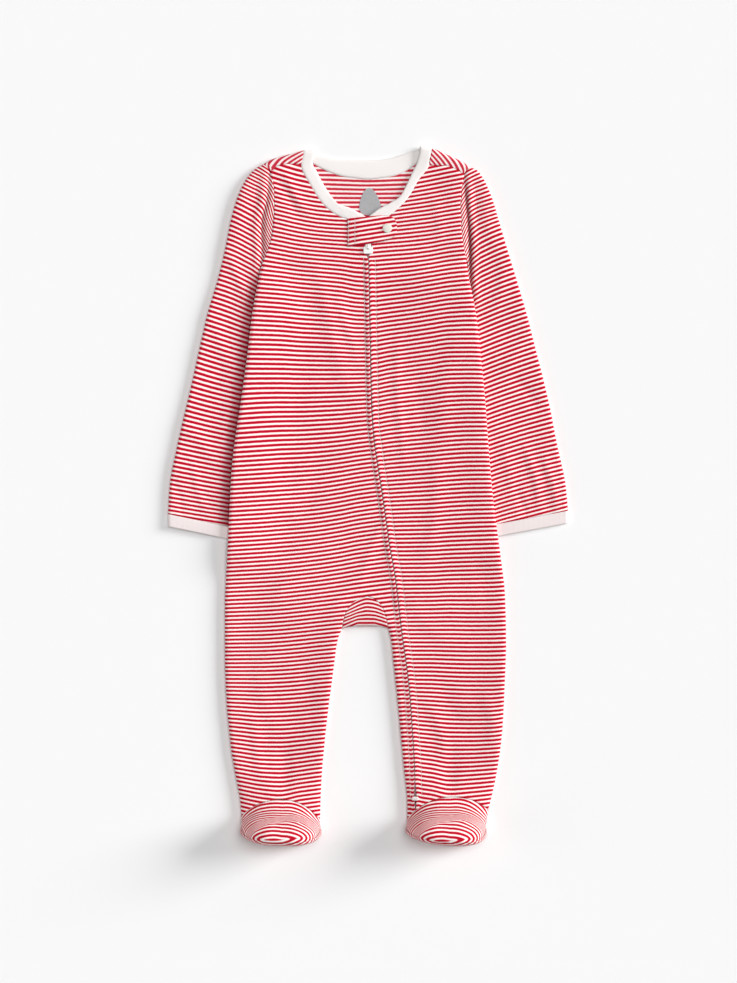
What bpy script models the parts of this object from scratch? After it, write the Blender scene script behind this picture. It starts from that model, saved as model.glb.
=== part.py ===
"""A footed baby sleepsuit of thin jersey, laid flat on its back with its toes standing up.

Every sewn piece is a solid of its own: a grid of points worked out from the cut of that piece,
closed into a wall by Solidify. All sizes below are millimetres; x runs to the wearer's left,
y from the feet to the neck, and z up from the surface that the sleepsuit lies on.
"""

import math
from functools import partial

import bmesh
import bpy
import numpy as np
from mathutils import Matrix, Vector

MM = 0.001

# Driving sizes
CLOTH = 1.3  # wall of the jersey pieces
RIB = 1.5  # wall of the neck binding and the cuffs
SEAM = 0.3  # space between two sewn pieces
FOLD = 3.0  # radius of a soft fold at a side, a shoulder or the crotch
LIE = 4.2  # height of the front where it lies on the back
SOFT = 16.0  # how far in from a fold the cloth takes to settle to that height
OPEN_UP = 7.0  # length over which a fold opens into a seam, as at the armpit
ROLL_STEPS = 3
ROLL_ANGLES = (0, 38, 66, 90)
OPEN_ANGLES = (90, 70, 50, 30, 0)  # round the ellipse on which a fold opens

ARMPIT = {"right": 216.1, "left": 221.8}
CROTCH = -126.4
GUSSET_TOP = -95.5
YOKE_BASE = 165.0  # the rows above this height fan out towards the neck and shoulders
SIGN = {"right": -1, "left": 1}

# The body's edges lie on the sleeves, and the last of them come down below the cuffs
SLEEVE_IN = 2.0  # radius of the sleeve's inner fold, under the body
LIFT = 2 * SLEEVE_IN + 0.6
LIFT_START = 45.0
LIFT_ACROSS = (16.0, 42.0)  # from the edge: all of the lift, none of it
LIFT_DOWN = (-52.0, -86.0)

# Zip, slider and pull
SLIT = 0.9  # half of the slit between the two fronts
SLIDER_SLIT = 3.6  # the same beside the slider
ZIP_END = -289.0
TAPE, TAPE_HALF, TAPE_TOP = 1.0, 4.6, 253.8
SLIDER_Y, SLIDER_WIDTH, SLIDER_LENGTH = 237.2, 5.4, 9.4
SLIDER_TOP = 4.2
PULL_X, PULL_Y, PULL_Z = 0.2, 235.7, 5.6  # the axis on which the pull turns
PULL_SIZE = (8.8, 6.6, 1.0)
BAR = 0.5  # half of the pull's bar, which turns in the bridge
EYE = (3.4, 2.6)
ARCH_CLEAR, ARCH_WIDTH = 1.0, 1.1

# The guard over the top of the zip, and its snap
GUARD, GUARD_LOW = 1.5, 5.0
SNAP_X, SNAP_Y, SNAP_LOW = 18.4, 253.7, 7.0
SNAP_PROFILE = ((3.6, 0.0), (4.3, 0.15), (4.4, 0.6), (4.0, 1.0), (2.6, 1.2), (1.2, 1.3))

# Crotch, cuffs and feet
CROTCH_FOLD = -124.0
NECK_GAP = 0.4
JOIN_TOP = (-17.0, 262.0)
CUFF_LENGTH, CUFF_HEIGHT = 11.8, 4.6
FOOT_SIDE = -311.5
HEEL_DEEP = 8.5
TOE_LOW, TOE_Z = 9.0, 46.0
TOE_BULGE = 4.8
TOE_GAP = 1.3  # the top's edge and the sole's meet at an angle
ANKLE_GAP = 0.4
FOOT_SQUARE = 0.7  # 1 is an ellipse, less is squarer


def table(columns, *rows):
    """Rows of sizes as one array for each named column, in rising order of the first."""
    values = np.array(sorted(rows), float)
    return dict(zip(columns.split(), values.T, strict=True))


# The body's edge: down the armhole from the shoulder fold to the armpit, then the side seam
EDGE = {
    "right": table(
        "y x",
        (314.4, -99.3), (312.0, -96.4), (308.3, -92.7), (301.6, -90.2), (290.2, -89.3),
        (276.0, -89.0), (257.0, -89.8), (241.8, -92.6), (230.4, -96.3), (221.8, -99.8),
        (216.1, -101.9), (200.9, -104.7), (176.2, -109.4), (144.9, -113.1), (116.4, -116.8),
        (69.8, -123.5), (38.5, -128.2), (-4.3, -131.1), (-47.0, -133.0), (-108.8, -135.8),
        (-146.8, -135.8), (-184.8, -134.9), (-220.9, -132.0), (-246.5, -129.2),
        (-272.2, -124.4), (-295.0, -120.6), (FOOT_SIDE, -119.7),
    ),
    "left": table(
        "y x",
        (311.8, 96.9), (309.2, 94.0), (305.4, 91.3), (295.4, 89.6), (283.6, 88.1),
        (269.9, 87.6), (257.9, 88.2), (246.5, 89.3), (236.1, 91.0), (228.5, 92.4),
        (221.8, 93.6), (204.7, 95.9), (179.1, 101.6), (147.7, 105.4), (90.7, 111.1),
        (57.5, 113.5), (5.2, 117.8), (-32.8, 122.5), (-61.3, 126.3), (-95.5, 130.2),
        (-137.3, 131.1), (-194.3, 129.2), (-226.6, 127.3), (-249.4, 124.4),
        (-276.0, 119.7), (-295.0, 114.9), (FOOT_SIDE, 111.3),
    ),
}
# The gusset's seam from its top down to the crotch, then the inside of the leg
INNER = {
    "right": table(
        "y x",
        (GUSSET_TOP, -7.0), (-97.4, -14.6), (-100.5, -18.2), (-105.0, -20.3), (-112.6, -22.3),
        (-120.2, -24.2), (CROTCH, -24.9), (-135.4, -28.3), (-148.7, -30.6), (-167.7, -33.0),
        (-203.8, -37.8), (-241.8, -41.8), (-275.0, -44.4), (-300.7, -45.3), (FOOT_SIDE, -45.6),
    ),
    "left": table(
        "y x",
        (GUSSET_TOP, -7.0), (-97.4, 2.6), (-100.5, 6.2), (-105.0, 10.2), (-110.2, 13.8),
        (-117.3, 17.7), (CROTCH, 19.4), (-137.3, 22.0), (-156.3, 24.0), (-175.3, 26.1),
        (-211.4, 29.7), (-255.1, 33.7), (-289.3, 37.3), (-300.7, 37.6), (FOOT_SIDE, 37.0),
    ),
}
ZIP = table(
    "y x",
    (264.6, -0.9), (245.0, -0.2), (230.4, 0.2), (221.8, 0.5), (147.7, 1.9), (71.7, 3.8), (32.8, 8.4),
    (-4.3, 14.2), (-47.0, 20.2), (-75.5, 25.3), (-131.6, 32.1), (-165.8, 37.0),
    (-191.4, 39.7), (-219.0, 41.6), (-255.1, 43.9), (-282.6, 44.7), (-310.0, 45.4),
)
# The top of each front from the zip: its neckline, then the seam in front of the shoulder
FRONT_TOP = {
    "right": table(
        "out y",
        (0.0, 255.2), (11.4, 260.3), (19.9, 263.3), (29.4, 266.9), (39.2, 274.5),
        (49.6, 287.0), (57.8, 302.9), (62.9, 314.0), (74.1, 314.6), (86.0, 313.0), (92.7, 308.3),
    ),
    "left": table(
        "out y",
        (0.0, 255.2), (9.5, 260.3), (19.0, 265.5), (27.5, 272.0), (38.6, 284.1),
        (48.4, 300.7), (57.3, 313.2), (66.0, 314.2), (73.5, 312.7), (82.6, 309.6), (91.3, 305.4),
    ),
}
# The line on which the cloth folds over the top of each shoulder
SHOULDER = {
    "right": table(
        "out y", (47.5, 327.9), (60.4, 327.9), (69.0, 325.0), (85.1, 321.6), (94.0, 318.0), (99.3, 314.4)
    ),
    "left": table(
        "out y", (48.0, 332.0), (60.5, 330.3), (68.4, 326.8), (79.4, 321.8), (89.6, 317.0), (96.9, 311.8)
    ),
}
NECK_CORNER = {"right": 62.9, "left": 57.3}  # where the shoulder seam meets the neckline
FOLD_CORNER = {"right": 60.4, "left": 60.5}  # where the shoulder fold does
BACK_NECK = {
    "right": table("out y", (0.0, 301.4), (22.0, 303.8), (41.0, 310.0), (53.5, 317.5), (60.4, 324.9)),
    "left": table("out y", (0.0, 301.4), (20.9, 303.8), (38.0, 310.4), (50.3, 319.6), (60.5, 327.3)),
}
# The binding's free edge: at the front from the zip to the shoulder fold, and at the back
FREE_FRONT = {
    "right": (
        (-2.0, 264.6), (-5.9, 265.7), (-13.6, 272.3), (-19.6, 273.9), (-26.6, 275.8),
        (-32.7, 281.6), (-41.4, 294.1), (-49.6, 309.9), (-52.6, 317.0), (-50.5, 324.9),
    ),
    "left": (
        (0.4, 264.6), (3.8, 265.8), (11.4, 273.4), (15.9, 276.2), (22.9, 278.3),
        (32.8, 287.0), (37.6, 297.3), (43.1, 308.8), (47.5, 318.7), (49.5, 329.0),
    ),
}
FREE_BACK = {
    "right": ((-50.5, 324.9), (-38.0, 320.6), (-25.0, 318.9), (-14.2, 318.4), (0.0, 318.3)),
    "left": ((49.5, 329.0), (39.5, 326.0), (30.6, 323.0), (19.7, 320.0), (8.7, 318.6), (0.0, 318.3)),
}
# Where each front ends over the ankle, from the inside of the leg to the outside
ANKLE = {
    "right": table(
        "x y",
        (-119.9, -303.0), (-112.1, -296.9), (-100.7, -291.2), (-83.1, -287.9),
        (-68.4, -290.7), (-60.4, -294.3), (-50.4, -302.3), (-45.3, -307.0),
    ),
    "left": table(
        "x y",
        (37.3, -305.6), (45.6, -298.3), (57.0, -290.7), (68.4, -286.9), (79.8, -285.5),
        (92.1, -286.9), (104.5, -291.2), (114.2, -298.0),
    ),
}
# Each foot seen from above, and the tilt of its end
FOOT = {
    "right": {"x": -82.65, "half": 37.05, "deep": 19.8, "tilt": 0.04, "crease": -79.0},
    "left": {"x": 74.15, "half": 37.15, "deep": 19.0, "tilt": 0.09, "crease": 77.5},
}
# From the ankle seam over the instep to the toe seam: share of the way, share of the height
INSTEP = table(
    "way rise", (0, 0), (0.12, 0.08), (0.25, 0.19), (0.38, 0.44), (0.49, 0.69),
    (0.64, 0.9), (0.78, 1.02), (0.90, 1.045), (1.0, 1.0),
)
# From the heel seam up the sole to the toe seam: share of the way out to the outline,
# share of the height, share of the way in from the outline to the toe seam
SOLE = table(
    "height out back", (0, 0, 0), (0.0001, 0.55, 0), (0.05, 0.88, 0), (0.18, 1, 0),
    (0.48, 1, 0.05), (0.76, 1, 0.24), (0.93, 1, 0.56), (1, 1, 1),
)
# Soft folds in the fronts: from one point to another, how far they reach and how high they stand
CREASES = (
    {"from": (62, 120), "to": (66, 20), "reach": 9, "rise": 0.9},
    {"from": (-30, 150), "to": (-62, 60), "reach": 10, "rise": 0.7},
    {"from": (-80, 296), "to": (-76, 232), "reach": 7, "rise": -0.5},
    {"from": (74, 200), "to": (84, 140), "reach": 8, "rise": 0.6},
    {"from": (-60, -60), "to": (-95, -105), "reach": 9, "rise": 0.7},
)
# Sections of each sleeve from the armhole to the cuff: the outer fold's point, the height at
# which the inner fold is crossed, and the height of the cloth between them
SLEEVE = {
    "right": table(
        "at x y inner height",
        (0, -99.3, 314.4, 216.1, 6.0), (1, -106.4, 310.6, 213.8, 5.7), (2, -114.9, 301.6, 210.6, 4.2),
        (3, -123.5, 284.5, 206.0, 4.7), (4, -130.2, 261.7, 199.5, 5.0), (5, -135.8, 233.2, 188.0, 4.5),
        (6, -143.4, 202.8, 173.0, 4.2), (7, -152.0, 174.3, 154.0, 4.2), (8, -158.7, 145.8, 130.0, 4.6),
        (9, -166.2, 111.6, 99.0, 4.2), (10, -173.8, 79.3, 69.0, 4.2), (11, -181.4, 46.1, 36.0, 4.6),
        (12, -188.1, 10.9, 3.0, 4.2), (13, -190.0, -17.6, -32.4, 4.4),
    ),
    "left": table(
        "at x y inner height",
        (0, 96.9, 311.8, 221.8, 6.0), (1, 103.5, 308.9, 219.4, 5.7), (2, 110.7, 298.8, 216.0, 4.2),
        (3, 117.8, 282.6, 211.0, 4.7), (4, 124.4, 260.8, 204.0, 5.0), (5, 132.0, 235.1, 193.0, 4.5),
        (6, 141.5, 203.8, 178.0, 4.2), (7, 151.0, 171.5, 158.0, 4.2), (8, 158.2, 143.0, 133.5, 4.6),
        (9, 165.8, 113.5, 104.0, 4.2), (10, 172.9, 83.1, 72.0, 4.2), (11, 179.5, 48.9, 38.0, 4.6),
        (12, 187.6, 10.9, 5.0, 4.2), (13, 190.0, -14.4, -28.6, 4.4),
    ),
}
CUFF_IN = {"right": -118.6, "left": 114.5}  # x of the sleeve's inner fold at the cuff
SLEEVE_BOW = (1.0, 0.8, 0.58, 0.36, 0.18, 0.06)  # how much of the armhole's curve a section keeps
SLEEVE_OPEN = (7.0, 5.8, 4.6, 3.4, 2.6)  # length of the inner fold's ellipse, then SLEEVE_IN
DEEPEST_INSET = 9.0  # of the inside of the sleeve from its inner fold, along a ring
CUFF_ROWS = ((SEAM, 0), (2.5, 0.25), (CUFF_LENGTH / 2, 0.3), (CUFF_LENGTH, 0.0))  # way down, swell

# Zip guard: its lower and upper edge
GUARD_EDGES = table(
    "x low high",
    (-19.6, 236.0, 262.9), (-9.9, 237.3, 263.9), (2.1, 239.1, 265.0), (12.0, 240.9, 265.8),
    (19.0, 242.4, 265.9), (23.5, 244.6, 264.0), (26.3, 247.6, 260.6), (27.6, 251.0, 256.4),
)


def smooth(column, values, at):
    """A smooth curve through the values at rising stations, which never overshoots them."""
    at = np.clip(np.asarray(at, float), column[0], column[-1])
    step = np.diff(column)
    slope = np.diff(values) / step
    lean = np.empty_like(values)
    lean[0], lean[-1] = slope[0], slope[-1]
    before, after = slope[:-1], slope[1:]
    turning = before * after <= 0
    total = np.where(turning, 1, before + after)
    lean[1:-1] = np.where(turning, 0, 2 * before * after / total)
    i = np.clip(np.searchsorted(column, at, "right") - 1, 0, len(step) - 1)
    t = (at - column[i]) / step[i]
    low, high = values[i], values[i + 1]
    bend = t * (1 - t) * step[i] * (lean[i] * (1 - t) - lean[i + 1] * t)
    return low + (high - low) * t * t * (3 - 2 * t) + bend


def read(rows, known, wanted, at):
    return smooth(rows[known], rows[wanted], at)


def along(points, shares):
    """Points at these shares of the length of a curve through a few points."""
    points = np.asarray(points, float)
    length = np.r_[0, np.cumsum(np.linalg.norm(np.diff(points, axis=0), axis=1))]
    at = np.asarray(shares) * length[-1]
    return np.stack([smooth(length, points[:, k], at) for k in range(points.shape[1])], -1)


def ease(value, start, end):
    """0 before start, 1 after end and a soft S between them."""
    t = np.clip((np.asarray(value, float) - start) / (end - start), 0, 1)
    return t * t * (3 - 2 * t)


def settle(distance):
    """1 on a fold, falling to 0 where the cloth lies flat."""
    return np.exp(-((np.maximum(distance - FOLD, 0) / SOFT) ** 2))


def edge_x(side, y):
    return read(EDGE[side], "y", "x", y)


def inner_x(side, y):
    return read(INNER[side], "y", "x", y)


def fold_y(side, x):
    return read(SHOULDER[side], "out", "y", np.abs(x))


def lift(x, y):
    """Height of the back above the surface: its edges lie on the sleeves."""
    total = 0.0
    for side, sign in SIGN.items():
        down = np.clip((ARMPIT[side] - y) / LIFT_START, 0, 1)
        rise = (1 - (1 - down) ** 3) * (1 - ease(-y, -LIFT_DOWN[0], -LIFT_DOWN[1]))
        inside = sign * (edge_x(side, y) - x)
        total = total + LIFT * rise * (1 - ease(inside, *LIFT_ACROSS))
    return total


def gap_distance(x, y):
    """Distance from the gap between the legs, its top being the crotch fold."""
    right, left = inner_x("right", CROTCH), inner_x("left", CROTCH)
    beside = np.maximum(np.maximum(right - x, x - left), 0)
    above = np.hypot(beside, y - CROTCH)
    below = np.where(x < 0, inner_x("right", y) - x, x - inner_x("left", y))
    return np.where(y > CROTCH, above, below)


def shoulder_distance(x, y):
    sides = np.where(x < 0, fold_y("right", x), fold_y("left", x))
    neck = SHOULDER["right"]["out"][0]
    return np.hypot(np.maximum(neck - np.abs(x), 0), sides - y)


def crease_height(x, y):
    total = 0.0
    for crease in CREASES:
        start, end = np.array(crease["from"], float), np.array(crease["to"], float)
        run = end - start
        length = np.linalg.norm(run)
        share = ((x - start[0]) * run[0] + (y - start[1]) * run[1]) / length**2
        off = ((x - start[0]) * run[1] - (y - start[1]) * run[0]) / length
        fade = ease(share, -0.15, 0.35) * (1 - ease(share, 0.65, 1.15))
        total = total + crease["rise"] * fade * np.exp(-((off / crease["reach"]) ** 2))
    return total


def leg_crown(x, y):
    """The legs round up towards the ankles, with a soft dip over the instep."""
    total = 0.0
    for side, foot in FOOT.items():
        out, inside = edge_x(side, y), inner_x(side, y)
        half = np.abs(out - inside) / 2
        across = np.clip(1 - ((x - (out + inside) / 2) / half) ** 2, 0, 1)
        there = (x < 0) == (side == "right")
        dip = 1.6 * np.exp(-(((x - foot["crease"]) / 8) ** 2)) * ease(-y, 225, 258)
        dip = dip * (1 - ease(-y, 272, 296))
        total = total + np.where(there, 6.0 * across * ease(-y, 245, 300) - dip * across, 0)
    return np.where(y < -215, total, 0)


def flatness(x, y):
    """0 on the folds and the armholes, 1 where the front lies down on the back."""
    edges = [np.abs(edge_x(side, y) - x) for side in SIGN]
    flat = 1.0
    for distance in (*edges, gap_distance(x, y), shoulder_distance(x, y)):
        flat = flat * (1 - settle(distance))
    return flat


def plain_z(x, y):
    """Height of the outer face of the fronts without its soft folds."""
    return lift(x, y) + 2 * FOLD + (LIE - 2 * FOLD) * flatness(x, y) + leg_crown(x, y)


def front_z(x, y):
    """Height of the outer face of the fronts."""
    placket = 0.5 * np.exp(-(((np.abs(x - read(ZIP, "y", "x", y)) - 6.5) / 2.5) ** 2))
    placket = placket * (1 - ease(y, 205, 228)) * flatness(x, y)
    return plain_z(x, y) + crease_height(x, y) + placket


def openness(distance):
    """How far a fold still turns at this distance before it opens into a seam: 1 to 0."""
    share = 1 - np.clip(distance / OPEN_UP, 0, 1)
    turn = 1 - np.sqrt(1 - share**2)
    return turn * (0.81 + 0.19 * turn)


def outward(points, sign):
    """Unit normals in the plane to a line of points that runs down the body."""
    run = np.gradient(points, axis=0)
    normal = np.stack([-run[:, 1], run[:, 0]], -1)
    normal /= np.linalg.norm(normal, axis=1, keepdims=True)
    return normal * np.where(normal[:, :1] * sign < 0, -1, 1)


def rolled(edge, normal, turn):
    """Columns of points from the flat to a folded edge, and how far each has dropped.

    The last facet is upright, so that the walls of two pieces end square to each other.
    """
    turn = np.maximum(turn, 1e-4)[:, None]
    angle = np.radians(ROLL_ANGLES)[None]
    back = FOLD / turn * (np.sin(turn * math.pi / 2) - np.sin(turn * angle))
    back[:, -2] *= 1 - turn[:, 0]
    drop = (FOLD - SEAM / 2) / turn * (1 - np.cos(turn * angle))
    return edge[:, None] - normal[:, None] * back[..., None], drop


def ruled(inner, outer, shares):
    """Rows of points straight across between two lines."""
    return inner[:, None] + (outer - inner)[:, None] * shares[None, :, None]


def bent(block, fade, row, curve):
    """The block with one of its rows moved onto a curve, and the rows near it following."""
    return block + fade[:, None, None] * (curve - block[row])[None]


def raised(plan, z):
    return np.concatenate([plan, np.asarray(z)[..., None]], -1)


def plane(x, y):
    return np.stack(np.broadcast_arrays(x, y), -1)


# Rows of the body, each as a height at its edge: five to the armhole, the armpit, the trunk,
# the gusset, the legs and the ankles, the last of which follow the seams of the feet
YOKE_SHARES = (1.0, 0.8, 0.6, 0.4, 0.2)
FADE_ROWS = tuple(OPEN_UP * (1 - math.cos(math.radians(angle))) for angle in OPEN_ANGLES)
UNDER_ARM = (2.5, 6.0, 11.0, 18.0, 28.0)
TRUNK_ROWS = (140, 112, 84, 56, 28, 0, -25, -45, -58, -72, -84)
GUSSET_ROWS = (GUSSET_TOP, -97.4, -100.5, -105.0, -110.5)
LEG_ROWS = (-129, -134, -142, -156, -176, -198, -220, -240)
ANKLE_ROWS = (-255, -266, -276, -288)


def armhole(side):
    """Points up the armhole, their distances from the armpit, and those of the body's rows."""
    y = np.linspace(ARMPIT[side], EDGE[side]["y"][-1], 80)
    points = plane(edge_x(side, y), y)
    length = np.r_[0, np.cumsum(np.linalg.norm(np.diff(points, axis=0), axis=1))]
    seam = np.interp(FRONT_TOP[side]["y"][-1], y, length)
    return points, length, np.r_[OPEN_UP + (seam - OPEN_UP) * np.array(YOKE_SHARES), FADE_ROWS]


class Half:
    """The rows of one side of the body, from its top edge to its ankle or heel seam.

    more: heights of rows above the front's, as the back has.
    """

    def __init__(self, side, more, centre_top, low_in, low_out):
        self.side, self.sign = side, SIGN[side]
        pit = ARMPIT[side]
        points, length, up = armhole(side)
        yoke = [*more, *np.interp(up, length, points[:, 1]), *(pit - np.array(UNDER_ARM)), YOKE_BASE]
        yoke = np.array(yoke)
        top = yoke[0]
        self.apex = len(yoke) + len(TRUNK_ROWS)
        crotch = [CROTCH + up for up in FADE_ROWS]
        rest = np.array((*TRUNK_ROWS, *GUSSET_ROWS, *crotch, *LEG_ROWS, *ANKLE_ROWS), float)
        share = (yoke - YOKE_BASE) / (top - YOKE_BASE)
        low = np.clip((rest - LEG_ROWS[-1]) / (ANKLE_ROWS[-1] - LEG_ROWS[-1]), 0, 1)
        self.top = np.r_[share, np.zeros(len(rest))]
        self.low = np.r_[np.zeros(len(yoke)), low]
        self.rest = rest
        self.y_in = self.inner_rows(centre_top, low_in)
        self.y_out = np.r_[yoke, self.inner_rows(centre_top, low_out)[len(yoke) :]]
        edge = plane(edge_x(side, self.y_out), self.y_out)
        turn = openness(np.interp(self.y_out, points[:, 1], length))
        self.roll, self.roll_drop = rolled(edge, outward(edge, self.sign), turn)

    def inner_rows(self, top, low):
        """Heights of the rows at an inner line with this top and this lowest point."""
        yoke = YOKE_BASE + self.top[: -len(self.rest)] * (top - YOKE_BASE)
        share = self.low[len(yoke) :]
        return np.r_[yoke, np.where(share > 0, LEG_ROWS[-1] + share * (low - LEG_ROWS[-1]), self.rest)]

    def panel(self, inner, shares, top, bottom, height, rise):
        """Points from the inner line to the side fold.

        top and bottom take points of the first and last row to the curves they end on.
        """
        flat = ruled(inner, self.roll[:, 0], shares)
        flat = bent(flat, self.top, 0, top(flat[0]))
        plan = np.concatenate([flat, self.roll[:, 1:]], 1)
        plan = bent(plan, self.low, -1, bottom(plan[-1]))
        drop = np.zeros(plan.shape[:2])
        drop[:, len(shares) - 1 :] = self.roll_drop
        return raised(plan, height(plan[..., 0], plan[..., 1]) + rise * drop)


def leg_fold(side, y):
    """Plan of the inner fold of a leg from the gusset's top down, its drops and its normals."""
    edge = plane(inner_x(side, y), y)
    turn = np.where(y > CROTCH, openness(y - CROTCH), 1.0)
    normal = outward(edge, -SIGN[side])
    plan, drop = rolled(edge, normal, turn)
    plan[0] = edge[0] + plane(0.0, np.linalg.norm(plan[0] - edge[0], axis=1))
    return plan, drop, normal


def join_line(y, top_x, top_y):
    """A line from a point of the neckline to the top of the gusset."""
    share = (y - GUSSET_TOP) / (top_y - GUSSET_TOP)
    return plane(INNER["right"]["x"][-1] + (top_x - INNER["right"]["x"][-1]) * share, y)


def slit_half(y):
    near = ease(y, 222, 231) * (1 - ease(y, 243, 250))
    return SLIT + (SLIDER_SLIT - SLIT) * near


def zip_line(y, sign):
    """The edge of a front along the zip."""
    return plane(read(ZIP, "y", "x", y) + sign * slit_half(y), y)


def across_front(side, inner, outer):
    """Shares of the way across, one of them at the corner of the neckline."""
    corner = (NECK_CORNER[side] - inner) / (outer - inner)
    return np.r_[np.linspace(0, corner, 7 if side == "left" else 6), np.linspace(corner, 1, 3)[1:]]


def fronts():
    """Blocks of the left front, and of the right front with the strip beside the zip."""

    def top(side):
        return lambda row: plane(row[:, 0], read(FRONT_TOP[side], "out", "y", np.abs(row[:, 0])))

    def bottom(side):
        return lambda row: plane(row[:, 0], read(ANKLE[side], "x", "y", row[:, 0]))

    def over(plan, drop):
        return raised(plan, front_z(plan[..., 0], plan[..., 1]) - drop)

    left_y, right_y = ANKLE["left"]["y"], ANKLE["right"]["y"]
    zip_x = float(read(ZIP, "y", "x", -300.0))
    zip_low = float(read(ANKLE["left"], "x", "y", zip_x))
    neck = FRONT_TOP["left"]["y"][0]

    half = Half("left", (), neck, zip_low, left_y[-1])
    inner = zip_line(half.y_in, 1)
    shares = across_front("left", inner[0, 0], half.roll[0, 0, 0])
    left = [half.panel(inner, shares, top("left"), bottom("left"), front_z, -1)]

    half = Half("right", (), JOIN_TOP[1], right_y[-1], right_y[0])
    apex = half.apex
    fold, drop, _ = leg_fold("right", half.y_in[apex:])
    inner = join_line(half.y_in, *JOIN_TOP)
    inner[apex:] = fold[:, 0]
    fold = bent(fold, half.low[apex:], -1, bottom("right")(fold[-1]))
    shares = across_front("right", -inner[0, 0], -half.roll[0, 0, 0])
    right = [half.panel(inner, shares, top("right"), bottom("right"), front_z, -1), over(fold, drop)]

    # the strip from the zip to that, which goes on down the inside of the left leg
    y = half.inner_rows(JOIN_TOP[1], left_y[0])
    fold, drop, _ = leg_fold("left", y[apex:])
    outer = join_line(y, *JOIN_TOP)
    outer[apex:] = fold[:, 0]
    fold = bent(fold, half.low[apex:], -1, bottom("left")(fold[-1]))
    flat = ruled(zip_line(half.inner_rows(neck, zip_low), -1), outer, np.linspace(0, 1, 4))
    flat = bent(flat, half.top, 0, top("right")(flat[0]))
    flat = bent(flat, half.low, -1, bottom("left")(flat[-1]))
    right += [over(flat, 0), over(fold, drop)]
    return left, right


def shoulder_lines(side, seam):
    """The fold over the shoulder opposite points of the seam in front, and the way between."""
    start, end = NECK_CORNER[side], FRONT_TOP[side]["out"][-1]
    share = (np.abs(seam[:, 0]) - start) / (end - start)
    out = FOLD_CORNER[side] + share * (SHOULDER[side]["out"][-1] - FOLD_CORNER[side])
    fold = plane(SIGN[side] * out, read(SHOULDER[side], "out", "y", out))
    way = fold - seam
    return fold, way / np.linalg.norm(way, axis=1, keepdims=True)


def over_shoulder(side, seam):
    """Points of a flap of the back, up over the fold and down to the seam in front."""
    fold, way = shoulder_lines(side, seam)
    rows = []
    for angle in np.radians(np.linspace(-90, 90, 2 * ROLL_STEPS + 1)):
        plan = fold - way * FOLD * (1 - math.cos(angle))
        rows.append(raised(plan, np.full(len(plan), FOLD * (1 + math.sin(angle)))))
    start, end = fold - way * FOLD, seam + way * SEAM
    for share in (0.5, 1.0):
        plan = start + (end - start) * share
        rows.append(raised(plan, front_z(plan[:, 0], plan[:, 1])))
    rows = np.array(rows)
    rows[:, -1, 0] = edge_x(side, rows[:, -1, 1])
    return rows


def heel_y(side, x):
    foot = FOOT[side]
    off = np.clip(np.abs(x - foot["x"]) / (foot["half"] - FOLD), 0, 1)
    return FOOT_SIDE - HEEL_DEEP * (1 - off**2)


def back(shoulder_seams):
    """Both halves of the back with the inner folds of the legs, and its shoulder flaps."""
    blocks, heels, centre = [], {}, None
    for side in SIGN:
        neck_y = BACK_NECK[side]["y"][0]
        flap = over_shoulder(side, shoulder_seams[side])
        half = Half(side, (flap[0, -1, 1],), neck_y, FOOT_SIDE, FOOT_SIDE)
        centre = half.y_in if centre is None else centre
        fold, rise, _ = leg_fold(side, centre[half.apex :])
        inner = join_line(centre, 0.0, neck_y)
        inner[half.apex :] = fold[:, 0]
        corner = (flap[0, 0, 0] - inner[0, 0]) / (half.roll[0, 0, 0] - inner[0, 0])
        shares = np.r_[np.linspace(0, corner, 6), np.linspace(corner, 1, 3)[1:]]

        def top(row, side=side, flap=flap):
            neck = plane(row[:5, 0], read(BACK_NECK[side], "out", "y", np.abs(row[:5, 0])))
            return np.concatenate([neck, flap[0, :3, :2]])

        def heel(row, side=side):
            return plane(row[:, 0], heel_y(side, row[:, 0]))

        fold = bent(fold, half.low[half.apex :], -1, heel(fold[-1]))
        block = half.panel(inner, shares, top, heel, lift, 1)
        block[0, 5:] = flap[0]
        blocks += [block, raised(fold, lift(fold[..., 0], fold[..., 1]) + rise), flap]
        heels[side] = np.concatenate([blocks[-2][-1, ::-1], block[-1, 1:]])
    return blocks, heels


def gusset():
    """The diamond between the legs, from its point in front, round the crotch and up behind."""
    y = np.r_[np.array(GUSSET_ROWS), CROTCH + np.array(FADE_ROWS), LEG_ROWS[0]]
    rows = len(y) - 1
    sides = []
    for side in SIGN:
        plan, drop, normal = leg_fold(side, y)
        edge = (plan[:, -1] + normal * SEAM)[1:rows]
        sides.append((edge, drop[1:rows, -1]))
    angle = np.linspace(0, math.pi / 2, len(FADE_ROWS))
    middle_y = np.r_[y[0] - 0.4, y[2] + 0.8, y[3], y[4], CROTCH_FOLD + FOLD - FOLD * np.sin(angle)]
    across = np.linspace(-1, 1, 7)
    layers = []
    for up in (1, -1):
        rise = np.r_[np.zeros(4), FOLD * (1 - np.cos(angle))]
        ends = []
        for edge, drop in sides:
            z = front_z(edge[:, 0], edge[:, 1]) - drop if up > 0 else drop
            z[-1] = FOLD
            ends.append(raised(edge, z))
        middle = (ends[0] + ends[1]) / 2
        flat = front_z(middle[:, 0], middle_y) if up > 0 else np.zeros(len(middle_y))
        target = raised(plane(middle[:, 0], middle_y), flat - up * rise)
        target[-1, 2] = FOLD
        swell = np.where(np.arange(len(target))[:, None] == 0, 1 - np.abs(across), 1 - across**4)
        line = ends[0][:, None] + (ends[1] - ends[0])[:, None] * ((across + 1) / 2)[None, :, None]
        layers.append(line + swell[..., None] * (target - middle)[:, None])
    return np.concatenate([layers[0], layers[1][-2::-1]])


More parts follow.
